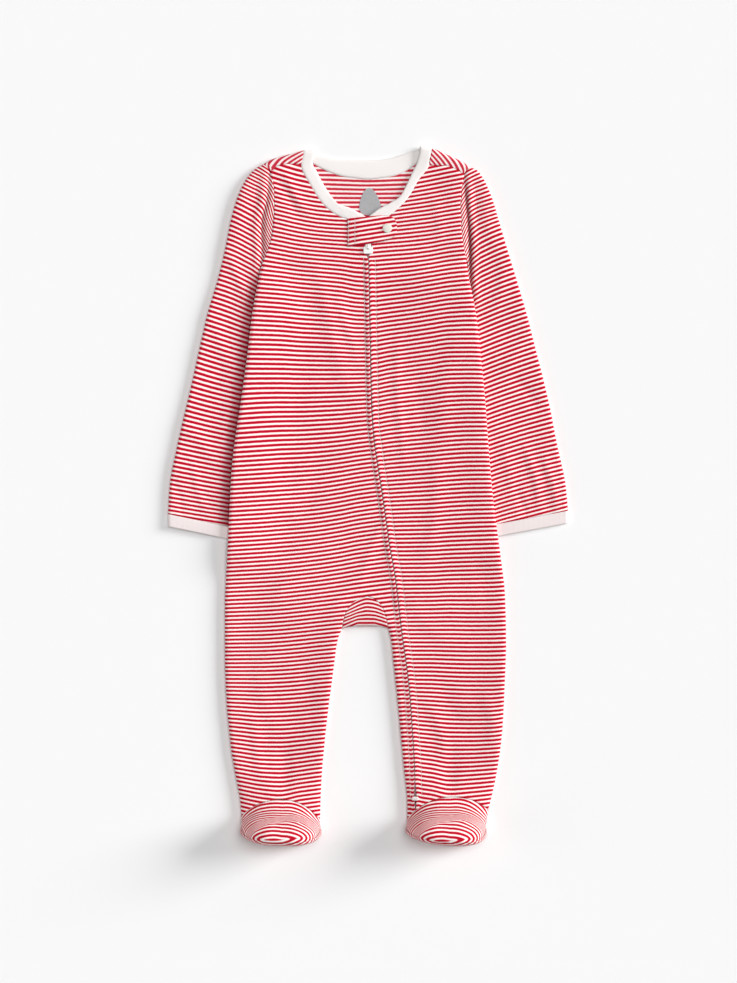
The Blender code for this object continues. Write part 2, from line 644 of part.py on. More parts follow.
def binding(necks, backs, shoulder_seams):
    """The neck binding, from the zip over each shoulder to the middle of the back.

    necks, backs: points of the fronts' necklines from the zip, and of the back's from its middle.
    """
    rows = {}
    for side in SIGN:
        neck = necks[side][:, :2]
        fold, way = shoulder_lines(side, shoulder_seams[side][:1])
        path = np.concatenate([neck, fold - way * FOLD])
        free = along(FREE_FRONT[side], np.linspace(0, 1, len(path)))
        path = path + NECK_GAP * toward(path, free)
        high = front_z(path[:, 0], path[:, 1])
        low = LIE + (high - LIE) * np.linspace(0.3, 1, len(path))
        part = [np.stack([raised(path, high), raised(free, low)], 1)]
        seam_fold, free_fold = path[-1] + way[0] * FOLD, free[-1] + (0, FOLD)
        for angle in np.radians(np.linspace(90, -90, 2 * ROLL_STEPS + 1))[1:]:
            away, z = FOLD * (1 - math.cos(angle)), FOLD * (1 + math.sin(angle))
            part.append([[(*(seam_fold - way[0] * away), z), (*(free_fold - (0, away)), z)]])
        path = backs[side][-2::-1, :2]
        free = along(FREE_BACK[side], np.linspace(0, 1, len(path) + 1))[1:]
        path = path + NECK_GAP * toward(path, free)
        floor = np.zeros(len(path))
        part.append(np.stack([raised(path, floor), raised(free, floor)], 1))
        rows[side] = np.concatenate(part)
    strip = np.concatenate([rows["right"], rows["left"][-2::-1]])
    return np.stack([strip[:, 0], strip.mean(1), strip[:, 1]], 1)


def toward(points, others):
    way = others - points
    return way / np.linalg.norm(way, axis=-1, keepdims=True)


def sleeve_in(side, y):
    """x of the sleeve's inner fold: straight, and clear of the body's edge at the armpit."""
    sign, pit = SIGN[side], ARMPIT[side]
    start, end = edge_x(side, pit), CUFF_IN[side]
    straight = start + (end - start) * (pit - y) / (pit - SLEEVE[side]["inner"][-1])
    edge = edge_x(side, y)
    down = np.clip((pit - y) / LIFT_START, 0, 1)
    above = 1 + LIFT * (1 - (1 - down) ** 3)
    reach = FOLD + SLEEVE_IN
    tuck = reach - np.sqrt(np.clip((reach + 0.5) ** 2 - above**2, 0, None)) - 0.6
    tuck = np.where(above > reach + 0.4, 99, tuck)
    return sign * np.maximum(sign * straight, sign * edge - tuck)


def tube_ring(inner, outer, curve, flats, open_in, heights, wall):
    """A flattened ring of cloth between an inner and an outer fold, and the ring inside its wall.

    curve: gives the points of its line in plan at shares of its length; flats: the shares of the
    points between the folds; heights: at the inner fold, between the folds, at the outer fold.
    """
    length = np.linalg.norm(outer - inner)
    # a ring that runs along its inner fold is set back further there, for a full wall across it
    slant = max(abs(outer[0] - inner[0]) / length, wall / DEEPEST_INSET)
    opening = np.radians(OPEN_ANGLES)
    opening = np.r_[-opening, opening[-2::-1]]
    turn = np.radians(np.linspace(90, -90, 2 * ROLL_STEPS + 1))
    along_it = flats * length
    rings = []
    for inset, depth in ((0.0, 0.0), (wall / slant, wall)):
        low, mid, high = (height - 2 * depth for height in heights)
        start = (inset + open_in * (1 - np.cos(opening))) / length
        end = 1 - (depth + high / 2 * (1 - np.cos(turn))) / length
        z = mid + (low - mid) * settle(along_it + 1) + (high - mid) * settle(length - along_it)
        share = np.r_[start, flats, end, flats[::-1]]
        z = np.r_[low / 2 * (1 + np.sin(opening)), z, high / 2 * (1 + np.sin(turn)), 0 * flats]
        rings.append(raised(inner + (outer - inner) * share[:, None] + curve(share), z + depth))
    return rings


def sleeve(side):
    """Rings of a sleeve from its armhole to its cuff, then those of the cuff: outer and inner."""
    rows = SLEEVE[side]
    hole, length, up = armhole(side)
    hole = hole + outward(hole, SIGN[side]) * SEAM
    flats = up[: len(YOKE_SHARES)][::-1] / length[-1]

    def bow(share, kept):
        at = np.clip(share, 0, 1) * length[-1]
        points = np.stack([np.interp(at, length, hole[:, k]) for k in (0, 1)], -1)
        return kept * (points - (hole[0] + (hole[-1] - hole[0]) * share[:, None]))

    rings = []
    for i in range(len(rows["at"])):
        outer = np.array([rows["x"][i], rows["y"][i]])
        inner = np.array([float(sleeve_in(side, rows["inner"][i])), rows["inner"][i]])
        if i == 0:
            inner, outer = hole[0], hole[-1]
        kept = SLEEVE_BOW[i] if i < len(SLEEVE_BOW) else 0.0
        open_in = SLEEVE_OPEN[i] if i < len(SLEEVE_OPEN) else SLEEVE_IN
        low = 2 * SLEEVE_IN + max(0, 1 - i / 4) * 2 * (FOLD - SLEEVE_IN)
        heights = (low, rows["height"][i], 2 * FOLD if i == 0 else 5.4)
        curve = partial(bow, kept=kept)
        rings.append(tube_ring(inner, outer, curve, flats, open_in, heights, CLOTH))
    straight = partial(bow, kept=0.0)
    cuff = []
    for down, swell in CUFF_ROWS:
        shift = np.array([0, -down])
        heights = (2 * SLEEVE_IN, CUFF_HEIGHT + swell, 5.0)
        cuff.append(tube_ring(inner + shift, outer + shift, straight, flats, SLEEVE_IN, heights, RIB))
    return np.array(rings), np.array(cuff)


def toe_seam(side, count):
    """Points of the seam round the end of a foot, from one side over the top to the other."""
    foot = FOOT[side]
    ends = np.radians([0, 3.5, 8, 14])[: ROLL_STEPS + 1]
    middle = np.linspace(ends[-1], math.pi - ends[-1], count - 2 * ROLL_STEPS)
    angle = np.r_[ends[:-1], middle, math.pi - ends[:-1][::-1]]
    x = foot["half"] * np.sign(np.cos(angle)) * np.abs(np.cos(angle)) ** FOOT_SQUARE
    rise = np.sin(angle) ** FOOT_SQUARE
    z = TOE_LOW + (TOE_Z - TOE_LOW) * rise
    y = FOOT_SIDE - 4.0 - (0.72 * foot["deep"] - 2.4) * rise**1.4 - foot["tilt"] * x * rise
    return np.stack([foot["x"] + x, y, z], -1)


def foot(side, ankle, heel):
    """Grids of the top and the sole of a foot between the seams they share.

    ankle, heel: points of the ankle seam and the heel seam, both from -x to +x.
    """
    toe = toe_seam(side, len(heel))[::-1]
    ankle = ankle.copy()
    ankle[:, :2] += toward(ankle[:, :2], toe[:, :2]) * ANKLE_GAP
    way, rise = INSTEP["way"][:, None, None], INSTEP["rise"][:, None]
    top = ankle + (toe - ankle) * way
    top[..., 2] = ankle[:, 2] + (toe[:, 2] - ankle[:, 2]) * rise
    heel = heel - (0, SEAM, 0)
    share = (toe[:, 2] - TOE_LOW) / (TOE_Z - TOE_LOW)
    out = toward(np.array([[FOOT[side]["x"], FOOT_SIDE + 12.0]]), toe[:, :2])
    outline = toe[:, :2] + out * (TOE_BULGE * np.clip(share, 0, 1) ** 0.6)[:, None]
    below = raised(outline, heel[:, 2] + (toe[:, 2] - heel[:, 2]) * SOLE["height"][-3])
    toe = toe + toward(toe, below) * TOE_GAP
    rows = []
    for height, reach, in_again in zip(SOLE["height"], SOLE["out"], SOLE["back"], strict=True):
        plan = heel[:, :2] + (outline - heel[:, :2]) * reach + (toe[:, :2] - outline) * in_again
        rows.append(raised(plan, heel[:, 2] + (toe[:, 2] - heel[:, 2]) * height))
    return top, np.array(rows)


def material(name, red, green, blue, rough=0.9):
    made = bpy.data.materials.new(name)
    made.use_nodes = True
    shader = made.node_tree.nodes["Principled BSDF"]
    shader.inputs["Base Color"].default_value = (red, green, blue, 1)
    shader.inputs["Roughness"].default_value = rough
    return made


def finish(mesh, name, look, group, smooth=True):
    """An object in this collection from a bmesh."""
    data = bpy.data.meshes.new(name)
    mesh.to_mesh(data)
    mesh.free()
    for polygon in data.polygons:
        polygon.use_smooth = smooth
    data.materials.append(look)
    made = bpy.data.objects.new(name, data)
    group.objects.link(made)
    return made


def cloth(name, blocks, wall, inside, look):
    """One sewn piece: grids of points on its outer face, joined and given a wall inwards.

    inside: a point behind that face.
    """
    mesh = bmesh.new()
    for block in blocks:
        rows, columns = block.shape[:2]
        points = [[mesh.verts.new(point * MM) for point in row] for row in block]
        for i in range(rows - 1):
            for j in range(columns - 1):
                corners = (points[i][j], points[i][j + 1], points[i + 1][j + 1], points[i + 1][j])
                mesh.faces.new(corners)
    bmesh.ops.remove_doubles(mesh, verts=mesh.verts[:], dist=0.02 * MM)
    bmesh.ops.recalc_face_normals(mesh, faces=mesh.faces[:])
    behind = Vector(inside) * MM
    facing = sum(
        face.calc_area() * face.normal.dot(face.calc_center_median() - behind) for face in mesh.faces
    )
    if facing < 0:
        bmesh.ops.reverse_faces(mesh, faces=mesh.faces[:])
    made = finish(mesh, name, look, garment)
    solid = made.modifiers.new("wall", "SOLIDIFY")
    solid.thickness = wall * MM
    solid.offset = -1
    return made


def tube_of_cloth(name, rings, look):
    """A sewn tube: rings on its outer face and on its inner face, closed at both ends."""
    mesh = bmesh.new()
    outer, inner = (
        [[mesh.verts.new(point * MM) for point in ring] for ring in rings[:, k]] for k in (0, 1)
    )
    around = [(j, (j + 1) % len(outer[0])) for j in range(len(outer[0]))]
    for wall in (outer, inner):
        for first, second in zip(wall, wall[1:]):
            for j, k in around:
                mesh.faces.new((first[j], first[k], second[k], second[j]))
    for end in (0, -1):
        for j, k in around:
            mesh.faces.new((outer[end][j], outer[end][k], inner[end][k], inner[end][j]))
    bmesh.ops.recalc_face_normals(mesh, faces=mesh.faces[:])
    return finish(mesh, name, look, garment)


def prism(outline, low, high):
    """A bmesh of an outline in the plane between two heights."""
    mesh = bmesh.new()
    base = [mesh.verts.new((x * MM, y * MM, low * MM)) for x, y in outline]
    face = mesh.faces.new(base)
    made = bmesh.ops.extrude_face_region(mesh, geom=[face])
    moved = [item for item in made["geom"] if isinstance(item, bmesh.types.BMVert)]
    bmesh.ops.translate(mesh, verts=moved, vec=(0, 0, (high - low) * MM))
    bmesh.ops.recalc_face_normals(mesh, faces=mesh.faces[:])
    return mesh


def rounded(x, y, width, length, radius, steps=4):
    """Corners of a rounded rectangle about a middle."""
    points = []
    for quarter in range(4):
        corner = math.pi / 2 * quarter
        sx = 1 if quarter in (0, 3) else -1
        sy = 1 if quarter in (0, 1) else -1
        for k in range(steps + 1):
            angle = corner + math.pi / 2 * k / steps
            points.append((
                x + sx * (width / 2 - radius) + radius * math.cos(angle),
                y + sy * (length / 2 - radius) + radius * math.sin(angle),
            ))
    return points


def bevelled(made, width, steps=2):
    modifier = made.modifiers.new("edges", "BEVEL")
    modifier.width = width * MM
    modifier.segments = steps
    modifier.limit_method = "ANGLE"
    return made


def tube(path, radius, points=10):
    """A bmesh of a rod along a path in a plane of constant x, closed at both ends."""
    mesh = bmesh.new()
    path = np.asarray(path, float)
    run = np.gradient(path, axis=0)
    run /= np.linalg.norm(run, axis=1, keepdims=True)
    rings = []
    for centre, way in zip(path, run, strict=True):
        side = np.cross(way, (1, 0, 0))
        ring = []
        for k in range(points):
            angle = 2 * math.pi * k / points
            place = centre + radius * (math.cos(angle) * np.array([1, 0, 0]) + math.sin(angle) * side)
            ring.append(mesh.verts.new(place * MM))
        rings.append(ring)
    for first, second in zip(rings, rings[1:]):
        for k in range(points):
            mesh.faces.new((first[k], first[k - 1], second[k - 1], second[k]))
    mesh.faces.new(rings[0])
    mesh.faces.new(rings[-1])
    bmesh.ops.recalc_face_normals(mesh, faces=mesh.faces[:])
    return mesh


def cut(made, tool, operation):
    modifier = made.modifiers.new(tool.name, "BOOLEAN")
    modifier.operation = operation
    modifier.object = tool
    modifier.solver = "EXACT"
    tool.hide_render = True
    tool.display_type = "WIRE"


def zip_parts():
    """The tape under the slit, the slider with its bridge, and the pull that hangs on it."""
    y = np.r_[TAPE_TOP, np.linspace(225, ZIP_END, 34)]
    x = read(ZIP, "y", "x", y)
    columns = x[:, None] + np.array([-1, 0, 1]) * TAPE_HALF
    rows = np.broadcast_to(y[:, None], columns.shape)
    top = plain_z(columns, rows).min(1, keepdims=True) - CLOTH - SEAM
    tape = raised(plane(columns, rows), np.broadcast_to(top, columns.shape))
    cloth("zip_tape", [tape], TAPE, (0, 0, -50), looks["tape"])

    low = LIE - CLOTH
    plate = rounded(PULL_X, SLIDER_Y, SLIDER_WIDTH, SLIDER_LENGTH, 1.6)
    slider = finish(prism(plate, low, SLIDER_TOP), "zip_slider", looks["white_metal"], garment)
    bevelled(slider, 0.25)
    turn = np.radians(np.linspace(0, 180, 13))
    mid = ARCH_CLEAR + ARCH_WIDTH / 2
    path = [(PULL_X, PULL_Y + mid, SLIDER_TOP - 0.6)]
    path += [(PULL_X, PULL_Y + mid * math.cos(t), PULL_Z + mid * math.sin(t)) for t in turn]
    path += [(PULL_X, PULL_Y - mid, SLIDER_TOP - 0.6)]
    bridge = finish(tube(path, ARCH_WIDTH / 2), "bridge", looks["white_metal"], cutters)
    cut(slider, bridge, "UNION")

    wide, long, thick = PULL_SIZE
    outline = rounded(PULL_X, PULL_Y + BAR - long / 2, wide, long, 1.7)
    pull = finish(prism(outline, PULL_Z - thick / 2, PULL_Z + thick / 2), "zip_pull",
                  looks["white_metal"], garment)
    eye_wide, eye_long = EYE
    hole = rounded(PULL_X, PULL_Y - BAR - eye_long / 2, eye_wide, eye_long, 0.6, 3)
    eye = finish(prism(hole, PULL_Z - 3, PULL_Z + 3), "eye", looks["white_metal"], cutters)
    cut(pull, eye, "DIFFERENCE")
    bevelled(pull, 0.2, 1)
    hinge = bpy.data.objects.new("pull_hinge", None)
    hinge.location = (PULL_X * MM, PULL_Y * MM, PULL_Z * MM)
    hinge.empty_display_size = 0.01
    garment.objects.link(hinge)
    pull.parent = hinge
    pull.matrix_parent_inverse = Matrix.Translation(-hinge.location)


def guard_parts():
    """The soft guard over the top of the zip and the snap that holds it."""
    x = along(np.array(list(zip(GUARD_EDGES["x"], GUARD_EDGES["low"]))), np.linspace(0, 1, 12))[:, 0]
    x[0], x[-1] = GUARD_EDGES["x"][[0, -1]]
    low, high = read(GUARD_EDGES, "x", "low", x), read(GUARD_EDGES, "x", "high", x)
    share = np.linspace(0, 1, 6)
    y = low[:, None] + (high - low)[:, None] * share
    z = GUARD_LOW + GUARD + 0.25 * np.sin(np.pi * share)[None] * np.ones((12, 1))
    plan = plane(x[:, None] * np.ones(6), y)
    cloth("zip_guard", [raised(plan, z)], GUARD, (0, 250, -50), looks["jersey"])

    mesh = bmesh.new()
    rings = []
    for out, up in SNAP_PROFILE:
        ring = []
        for k in range(28):
            angle = 2 * math.pi * k / 28
            place = (SNAP_X + out * math.cos(angle), SNAP_Y + out * math.sin(angle))
            ring.append(mesh.verts.new((place[0] * MM, place[1] * MM, (SNAP_LOW + up) * MM)))
        rings.append(ring)
    for first, second in zip(rings, rings[1:]):
        for k in range(28):
            mesh.faces.new((first[k - 1], first[k], second[k], second[k - 1]))
    mesh.faces.new(rings[0])
    mesh.faces.new(rings[-1])
    bmesh.ops.recalc_face_normals(mesh, faces=mesh.faces[:])
    finish(mesh, "snap_cap", looks["white_metal"], garment)


def ends_and_middle(row, count):
    """A row of points resampled between the rolls at its two ends."""
    roll = ROLL_STEPS
    middle = along(row[roll : len(row) - roll], np.linspace(0, 1, count - 2 * roll))
    return np.concatenate([row[:roll], middle, row[-roll:]])


def ankle_row(side, left, right):
    """The last points of the fronts over one leg, from -x to +x."""
    if side == "right":
        return np.concatenate([right[0][-1, ::-1], right[1][-1, 1:]])
    return np.concatenate([right[3][-1, :0:-1], right[2][-1, ::-1], left[0][-1]])


for old in list(bpy.data.objects):
    bpy.data.objects.remove(old, do_unlink=True)
garment = bpy.data.collections.new("footed_sleepsuit")
cutters = bpy.data.collections.new("cutters")
for group in (garment, cutters):
    bpy.context.scene.collection.children.link(group)
looks = {
    "jersey": material("striped_jersey", 0.79, 0.28, 0.33),
    "rib": material("white_rib", 0.9, 0.88, 0.86),
    "tape": material("zip_tape", 0.85, 0.84, 0.83),
    "white_metal": material("white_enamel", 0.93, 0.93, 0.93, 0.4),
}

left_front, right_front = fronts()
seams = {"left": left_front[0][0, -6:, :2], "right": right_front[0][0, -6:, :2]}
necks = {
    "left": left_front[0][0, :-5],
    "right": np.concatenate([right_front[2][0], right_front[0][0, 1:-5]]),
}
back_blocks, heels = back(seams)
back_necks = {"right": back_blocks[0][0, :6], "left": back_blocks[3][0, :6]}
cloth("back", back_blocks, CLOTH, (0, 60, 3), looks["jersey"])
cloth("front_left", left_front, CLOTH, (60, 60, -40), looks["jersey"])
cloth("front_right", right_front, CLOTH, (-60, 60, -40), looks["jersey"])
cloth("gusset", [gusset()], CLOTH, (-4, -112, 3), looks["jersey"])
cloth("neck_binding", [binding(necks, back_necks, seams)], RIB, (0, 290, 3), looks["rib"])
for side, sign in SIGN.items():
    rings, cuff_rings = sleeve(side)
    tube_of_cloth(f"sleeve_{side}", rings, looks["jersey"])
    tube_of_cloth(f"cuff_{side}", cuff_rings, looks["rib"])
    row = heels[side] if side == "left" else heels[side][::-1]
    ankle = ends_and_middle(ankle_row(side, left_front, right_front), len(row))
    upper, lower = foot(side, ankle, row)
    pocket = (FOOT[side]["x"], FOOT_SIDE + 8, 14)
    cloth(f"foot_top_{side}", [upper], CLOTH, pocket, looks["jersey"])
    cloth(f"foot_sole_{side}", [lower], CLOTH, pocket, looks["jersey"])
zip_parts()
guard_parts()
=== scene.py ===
# %% [markdown]
# # A footed baby sleepsuit, laid flat
#
# This notebook dresses the imported solids of a zipped baby sleepsuit: thin striped jersey, a ribbed
# neck binding and cuffs, a zip under a small guard, and a snap. The solids give the frame. Each
# cloth piece below is a thin shell that stands for the solid of the same name, worked out from the
# same sizes on a much finer grid, with its creases placed one by one. All lengths in the tables and
# functions are millimetres, and metres only where a mesh is made.

# %% The frame
import math

import bpy
import numpy as np
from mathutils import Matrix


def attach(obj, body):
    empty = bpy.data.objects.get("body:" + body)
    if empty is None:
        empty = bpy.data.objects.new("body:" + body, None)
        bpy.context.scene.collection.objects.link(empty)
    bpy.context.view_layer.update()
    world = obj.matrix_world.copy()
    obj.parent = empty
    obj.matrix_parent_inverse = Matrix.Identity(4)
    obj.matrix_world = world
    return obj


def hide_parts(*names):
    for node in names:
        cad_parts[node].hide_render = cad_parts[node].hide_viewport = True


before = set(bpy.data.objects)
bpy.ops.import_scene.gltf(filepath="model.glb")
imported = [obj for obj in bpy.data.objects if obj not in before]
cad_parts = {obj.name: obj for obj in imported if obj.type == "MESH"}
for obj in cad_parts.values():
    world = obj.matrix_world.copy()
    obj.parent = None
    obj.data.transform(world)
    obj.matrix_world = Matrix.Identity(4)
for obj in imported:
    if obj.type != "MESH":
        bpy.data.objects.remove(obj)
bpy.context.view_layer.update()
MM = 0.001
print(len(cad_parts), "solids in the frame")

# %% [markdown]
# ## The sizes of the pieces
#
# A sewn piece could be drawn as a mesh by hand, draped by a simulation, or worked out from the
# lines on which it is cut and folded. The last keeps each shell on its solid, so the same tables
# that made the solids are used here: edges as heights and distances from the middle.

# %% Seams, folds and landmarks
SEAM = 0.08  # space between two sewn pieces
FOLD = 3.0  # radius of a soft fold at a side, a shoulder or the crotch
LIE = 4.2  # height of the front where it lies on the back
SOFT = 16.0  # how far in from a fold the cloth takes to settle to that height
ARMPIT = {"right": 216.1, "left": 221.8}
CROTCH = -126.4
GUSSET_TOP = -95.5
SIGN = {"right": -1, "left": 1}
FOOT_SIDE = -311.5

# %% The outline of the body
def table(columns, *rows):
    """Rows of sizes as one array for each named column, in rising order of the first."""
    values = np.array(sorted(rows), float)
    return dict(zip(columns.split(), values.T, strict=True))


EDGE = {
    "right": table(
        "y x",
        (314.4, -99.3), (312.0, -96.4), (308.3, -92.7), (301.6, -90.2), (290.2, -89.3),
        (276.0, -89.0), (257.0, -89.8), (241.8, -92.6), (230.4, -96.3), (221.8, -99.8),
        (216.1, -101.9), (200.9, -104.7), (176.2, -109.4), (144.9, -113.1), (116.4, -116.8),
        (69.8, -123.5), (38.5, -128.2), (-4.3, -131.1), (-47.0, -133.0), (-108.8, -135.8),
        (-146.8, -135.8), (-184.8, -134.9), (-220.9, -132.0), (-246.5, -129.2),
        (-272.2, -124.4), (-295.0, -120.6), (FOOT_SIDE, -119.7),
    ),
    "left": table(
        "y x",
        (311.8, 96.9), (309.2, 94.0), (305.4, 91.3), (295.4, 89.6), (283.6, 88.1),
        (269.9, 87.6), (257.9, 88.2), (246.5, 89.3), (236.1, 91.0), (228.5, 92.4),
        (221.8, 93.6), (204.7, 95.9), (179.1, 101.6), (147.7, 105.4), (90.7, 111.1),
        (57.5, 113.5), (5.2, 117.8), (-32.8, 122.5), (-61.3, 126.3), (-95.5, 130.2),
        (-137.3, 131.1), (-194.3, 129.2), (-226.6, 127.3), (-249.4, 124.4),
        (-276.0, 119.7), (-295.0, 114.9), (FOOT_SIDE, 111.3),
    ),
}
print(f"widest: {EDGE['left']['x'].max() - EDGE['right']['x'].min():.0f} mm")

# %% The insides of the legs, and the zip
INNER = {
    "right": table(
        "y x",
        (GUSSET_TOP, -0.4), (-97.4, -6.4), (-100.5, -12.6), (-105.0, -17.8), (-112.0, -21.9),
        (-119.0, -23.6), (CROTCH, -24.9), (-135.4, -28.3), (-148.7, -30.6), (-167.7, -33.0),
        (-203.8, -37.8), (-241.8, -41.8), (-275.0, -44.4), (-300.7, -45.3), (FOOT_SIDE, -45.6),
    ),
    "left": table(
        "y x",
        (GUSSET_TOP, -0.4), (-97.4, 4.6), (-100.5, 9.0), (-105.0, 12.8), (-110.5, 15.4),
        (-117.3, 17.3), (CROTCH, 19.4), (-137.3, 22.0), (-156.3, 24.0), (-175.3, 26.1),
        (-211.4, 29.7), (-255.1, 33.7), (-289.3, 37.3), (-300.7, 37.6), (FOOT_SIDE, 37.0),
    ),
}
ZIP = table(
    "y x",
    (264.6, -0.9), (245.0, -0.2), (230.4, 0.2), (221.8, 0.5), (147.7, 1.9), (71.7, 3.8),
    (32.8, 8.4), (-4.3, 14.2), (-47.0, 20.2), (-75.5, 25.3), (-131.6, 32.1), (-165.8, 37.0),
    (-191.4, 39.7), (-219.0, 41.6), (-255.1, 43.9), (-282.6, 44.7), (-310.0, 45.4),
)
print(f"the zip's line: {np.hypot(np.diff(ZIP['x']), np.diff(ZIP['y'])).sum():.0f} mm long")

# %% The neckline and the shoulders
FRONT_TOP = {
    "right": table(
        "out y",
        (0.0, 255.2), (11.4, 260.3), (19.9, 263.3), (29.4, 266.9), (39.2, 274.5),
        (49.6, 287.0), (57.8, 302.9), (62.9, 314.0), (74.1, 314.6), (86.0, 313.0), (92.7, 308.3),
    ),
    "left": table(
        "out y",
        (0.0, 255.2), (9.5, 260.3), (19.0, 265.5), (27.5, 272.0), (38.6, 284.1),
        (48.4, 300.7), (57.3, 313.2), (66.0, 314.2), (73.5, 312.7), (82.6, 309.6), (91.3, 305.4),
    ),
}
SHOULDER = {
    "right": table(
        "out y",
        (47.5, 327.9), (60.4, 327.9), (69.0, 325.0), (85.1, 321.6), (94.0, 318.0), (99.3, 314.4),
    ),
    "left": table(
        "out y",
        (48.0, 332.0), (60.5, 330.3), (68.4, 326.8), (79.4, 321.8), (89.6, 317.0), (96.9, 311.8),
    ),
}
NECK_CORNER = {"right": 62.9, "left": 57.3}  # where the shoulder seam meets the neckline
FOLD_CORNER = {"right": 60.4, "left": 60.5}  # where the shoulder fold does
BACK_NECK = {
    "right": table(
        "out y", (0.0, 301.4), (22.0, 303.8), (41.0, 310.0), (53.5, 317.5), (60.4, 324.9)
    ),
    "left": table(
        "out y", (0.0, 301.4), (20.9, 303.8), (38.0, 310.4), (50.3, 319.6), (60.5, 327.3)
    ),
}

# %% [markdown]
# ## Curves and heights
#
# Every surface is a function of two parameters on a grid. A line is read from its table by a curve
# that never overshoots the sizes, and a height is worked out from the distances to the folds:
# cloth stands three millimetres high on a fold and settles onto the piece below it.

# %% Smooth curves
def smooth(column, values, at):
    """A smooth curve through values at rising stations; values may be whole rows of points.

    It is the cubic whose slope at each station is the harmonic mean of the two slopes beside it.
    """
    column, values = np.asarray(column, float), np.asarray(values, float)
    at = np.clip(np.asarray(at, float), column[0], column[-1])
    more = (None,) * (values.ndim - 1)
    step = np.diff(column)[(..., *more)]
    slope = np.diff(values, axis=0) / step
    lean = np.empty_like(values)
    lean[0], lean[-1] = slope[0], slope[-1]
    before, after = slope[:-1], slope[1:]
    turning = before * after <= 0
    total = np.where(turning, 1, before + after)
    lean[1:-1] = np.where(turning, 0, 2 * before * after / total)
    i = np.clip(np.searchsorted(column, at, "right") - 1, 0, len(column) - 2)
    t = ((at - column[i]) / np.diff(column)[i])[(..., *more)]
    low, high = values[i], values[i + 1]
    bend = t * (1 - t) * step[i] * (lean[i] * (1 - t) - lean[i + 1] * t)
    return low + (high - low) * t * t * (3 - 2 * t) + bend


def read(rows, known, wanted, at):
    """One column of a table of sizes, read at these values of another."""
    return smooth(rows[known], rows[wanted], at)


def along(points, shares):
    """Points at these shares of the length of a curve through a few points."""
    points = np.asarray(points, float)
    length = np.r_[0, np.cumsum(np.linalg.norm(np.diff(points, axis=0), axis=1))]
    at = np.asarray(shares) * length[-1]
    return np.stack([smooth(length, points[:, k], at) for k in range(points.shape[1])], -1)

# %% Soft steps and bumps
def ease(value, start, end):
    """0 before start, 1 after end and a soft S between them."""
    t = np.clip((np.asarray(value, float) - start) / (end - start), 0, 1)
    return t * t * (3 - 2 * t)


def bell(value, at, reach):
    """A soft bump: 1 where the value is at its place, fading on both sides over the reach."""
    return np.exp(-(((value - at) / reach) ** 2))


def settle(distance):
    """1 on a fold, falling to 0 where the cloth lies flat."""
    return np.exp(-((np.maximum(distance - FOLD, 0) / SOFT) ** 2))


print(f"{FOLD + SOFT:.0f} mm in from a fold, {settle(FOLD + SOFT):.0%} of the rise is left")

# %% Lines of the body
def edge_x(side, y):
    """x of the folded side of the body."""
    return read(EDGE[side], "y", "x", y)


def inner_x(side, y):
    """x of the inner fold of a leg."""
    return read(INNER[side], "y", "x", y)


def fold_y(side, x):
    """y of the fold over the shoulder."""
    return read(SHOULDER[side], "out", "y", np.abs(x))


print(f"the right side at the waist: x = {float(edge_x('right', 60.0)):.0f} mm")

# %% How the sleeves lift the body
SLEEVE_IN = 2.0  # radius of the sleeve's inner fold, under the body
LIFT = 2 * SLEEVE_IN + 0.6  # how far the body's edge is raised where it lies on a sleeve
LIFT_START = 45.0  # length below the armpit over which it rises
# distances in from the edge, and then heights, from all of the lift to none of it
LIFT_ACROSS = {"right": (15.0, 60.0), "left": (8.0, 92.0)}
LIFT_DOWN = (-52.0, -86.0)


def lift(x, y):
    """Height of the back above the surface: its edges lie on the sleeves."""
    total = 0.0
    for side, sign in SIGN.items():
        down = np.clip((ARMPIT[side] - y) / LIFT_START, 0, 1)
        rise = (1 - (1 - down) ** 3) * (1 - ease(-y, -LIFT_DOWN[0], -LIFT_DOWN[1]))
        inside = sign * (edge_x(side, y) - x)
        total = total + LIFT * rise * (1 - ease(inside, *LIFT_ACROSS[side]))
    return total


print(f"the back's right edge at the waist: {float(lift(edge_x('right', 60.0), 60.0)):.1f} mm up")

# %% Distances from the folds
def gap_distance(x, y):
    """Distance from the gap between the legs, its top being the crotch fold."""
    right, left = inner_x("right", CROTCH), inner_x("left", CROTCH)
    beside = np.maximum(np.maximum(right - x, x - left), 0)
    above = np.hypot(beside, y - CROTCH)
    below = np.where(x < 0, inner_x("right", y) - x, x - inner_x("left", y))
    return np.where(y > CROTCH, above, below)


def shoulder_distance(x, y):
    """Distance from the folds over the shoulders."""
    sides = np.where(x < 0, fold_y("right", x), fold_y("left", x))
    neck = SHOULDER["right"]["out"][0]
    return np.hypot(np.maximum(neck - np.abs(x), 0), sides - y)

# %% The legs, and where the front lies flat
CROWN = 6.0  # how much a leg rounds up towards the ankle
DIP = 1.6  # depth of the hollow over the instep
FOOT = {
    "right": {"x": -82.65, "half": 37.05, "deep": 19.8, "tilt": 0.04, "crease": -79.0},
    "left": {"x": 74.15, "half": 37.15, "deep": 19.0, "tilt": 0.09, "crease": 77.5},
}


def leg_crown(x, y):
    """The legs round up towards the ankles, with a soft dip over the instep."""
    total = 0.0
    for side, foot in FOOT.items():
        out, inside = edge_x(side, y), inner_x(side, y)
        half = np.abs(out - inside) / 2
        across = np.clip(1 - ((x - (out + inside) / 2) / half) ** 2, 0, 1)
        there = (x < 0) == (side == "right")
        dip = DIP * bell(x, foot["crease"], 8) * ease(-y, 225, 258)
        dip = dip * (1 - ease(-y, 272, 296))
        total = total + np.where(there, CROWN * across * ease(-y, 245, 300) - dip * across, 0)
    return np.where(y < -215, total, 0)


def flatness(x, y):
    """0 on the folds and the armholes, 1 where the front lies down on the back."""
    edges = [np.abs(edge_x(side, y) - x) for side in SIGN]
    flat = 1.0
    for distance in (*edges, gap_distance(x, y), shoulder_distance(x, y)):
        flat = flat * (1 - settle(distance))
    return flat

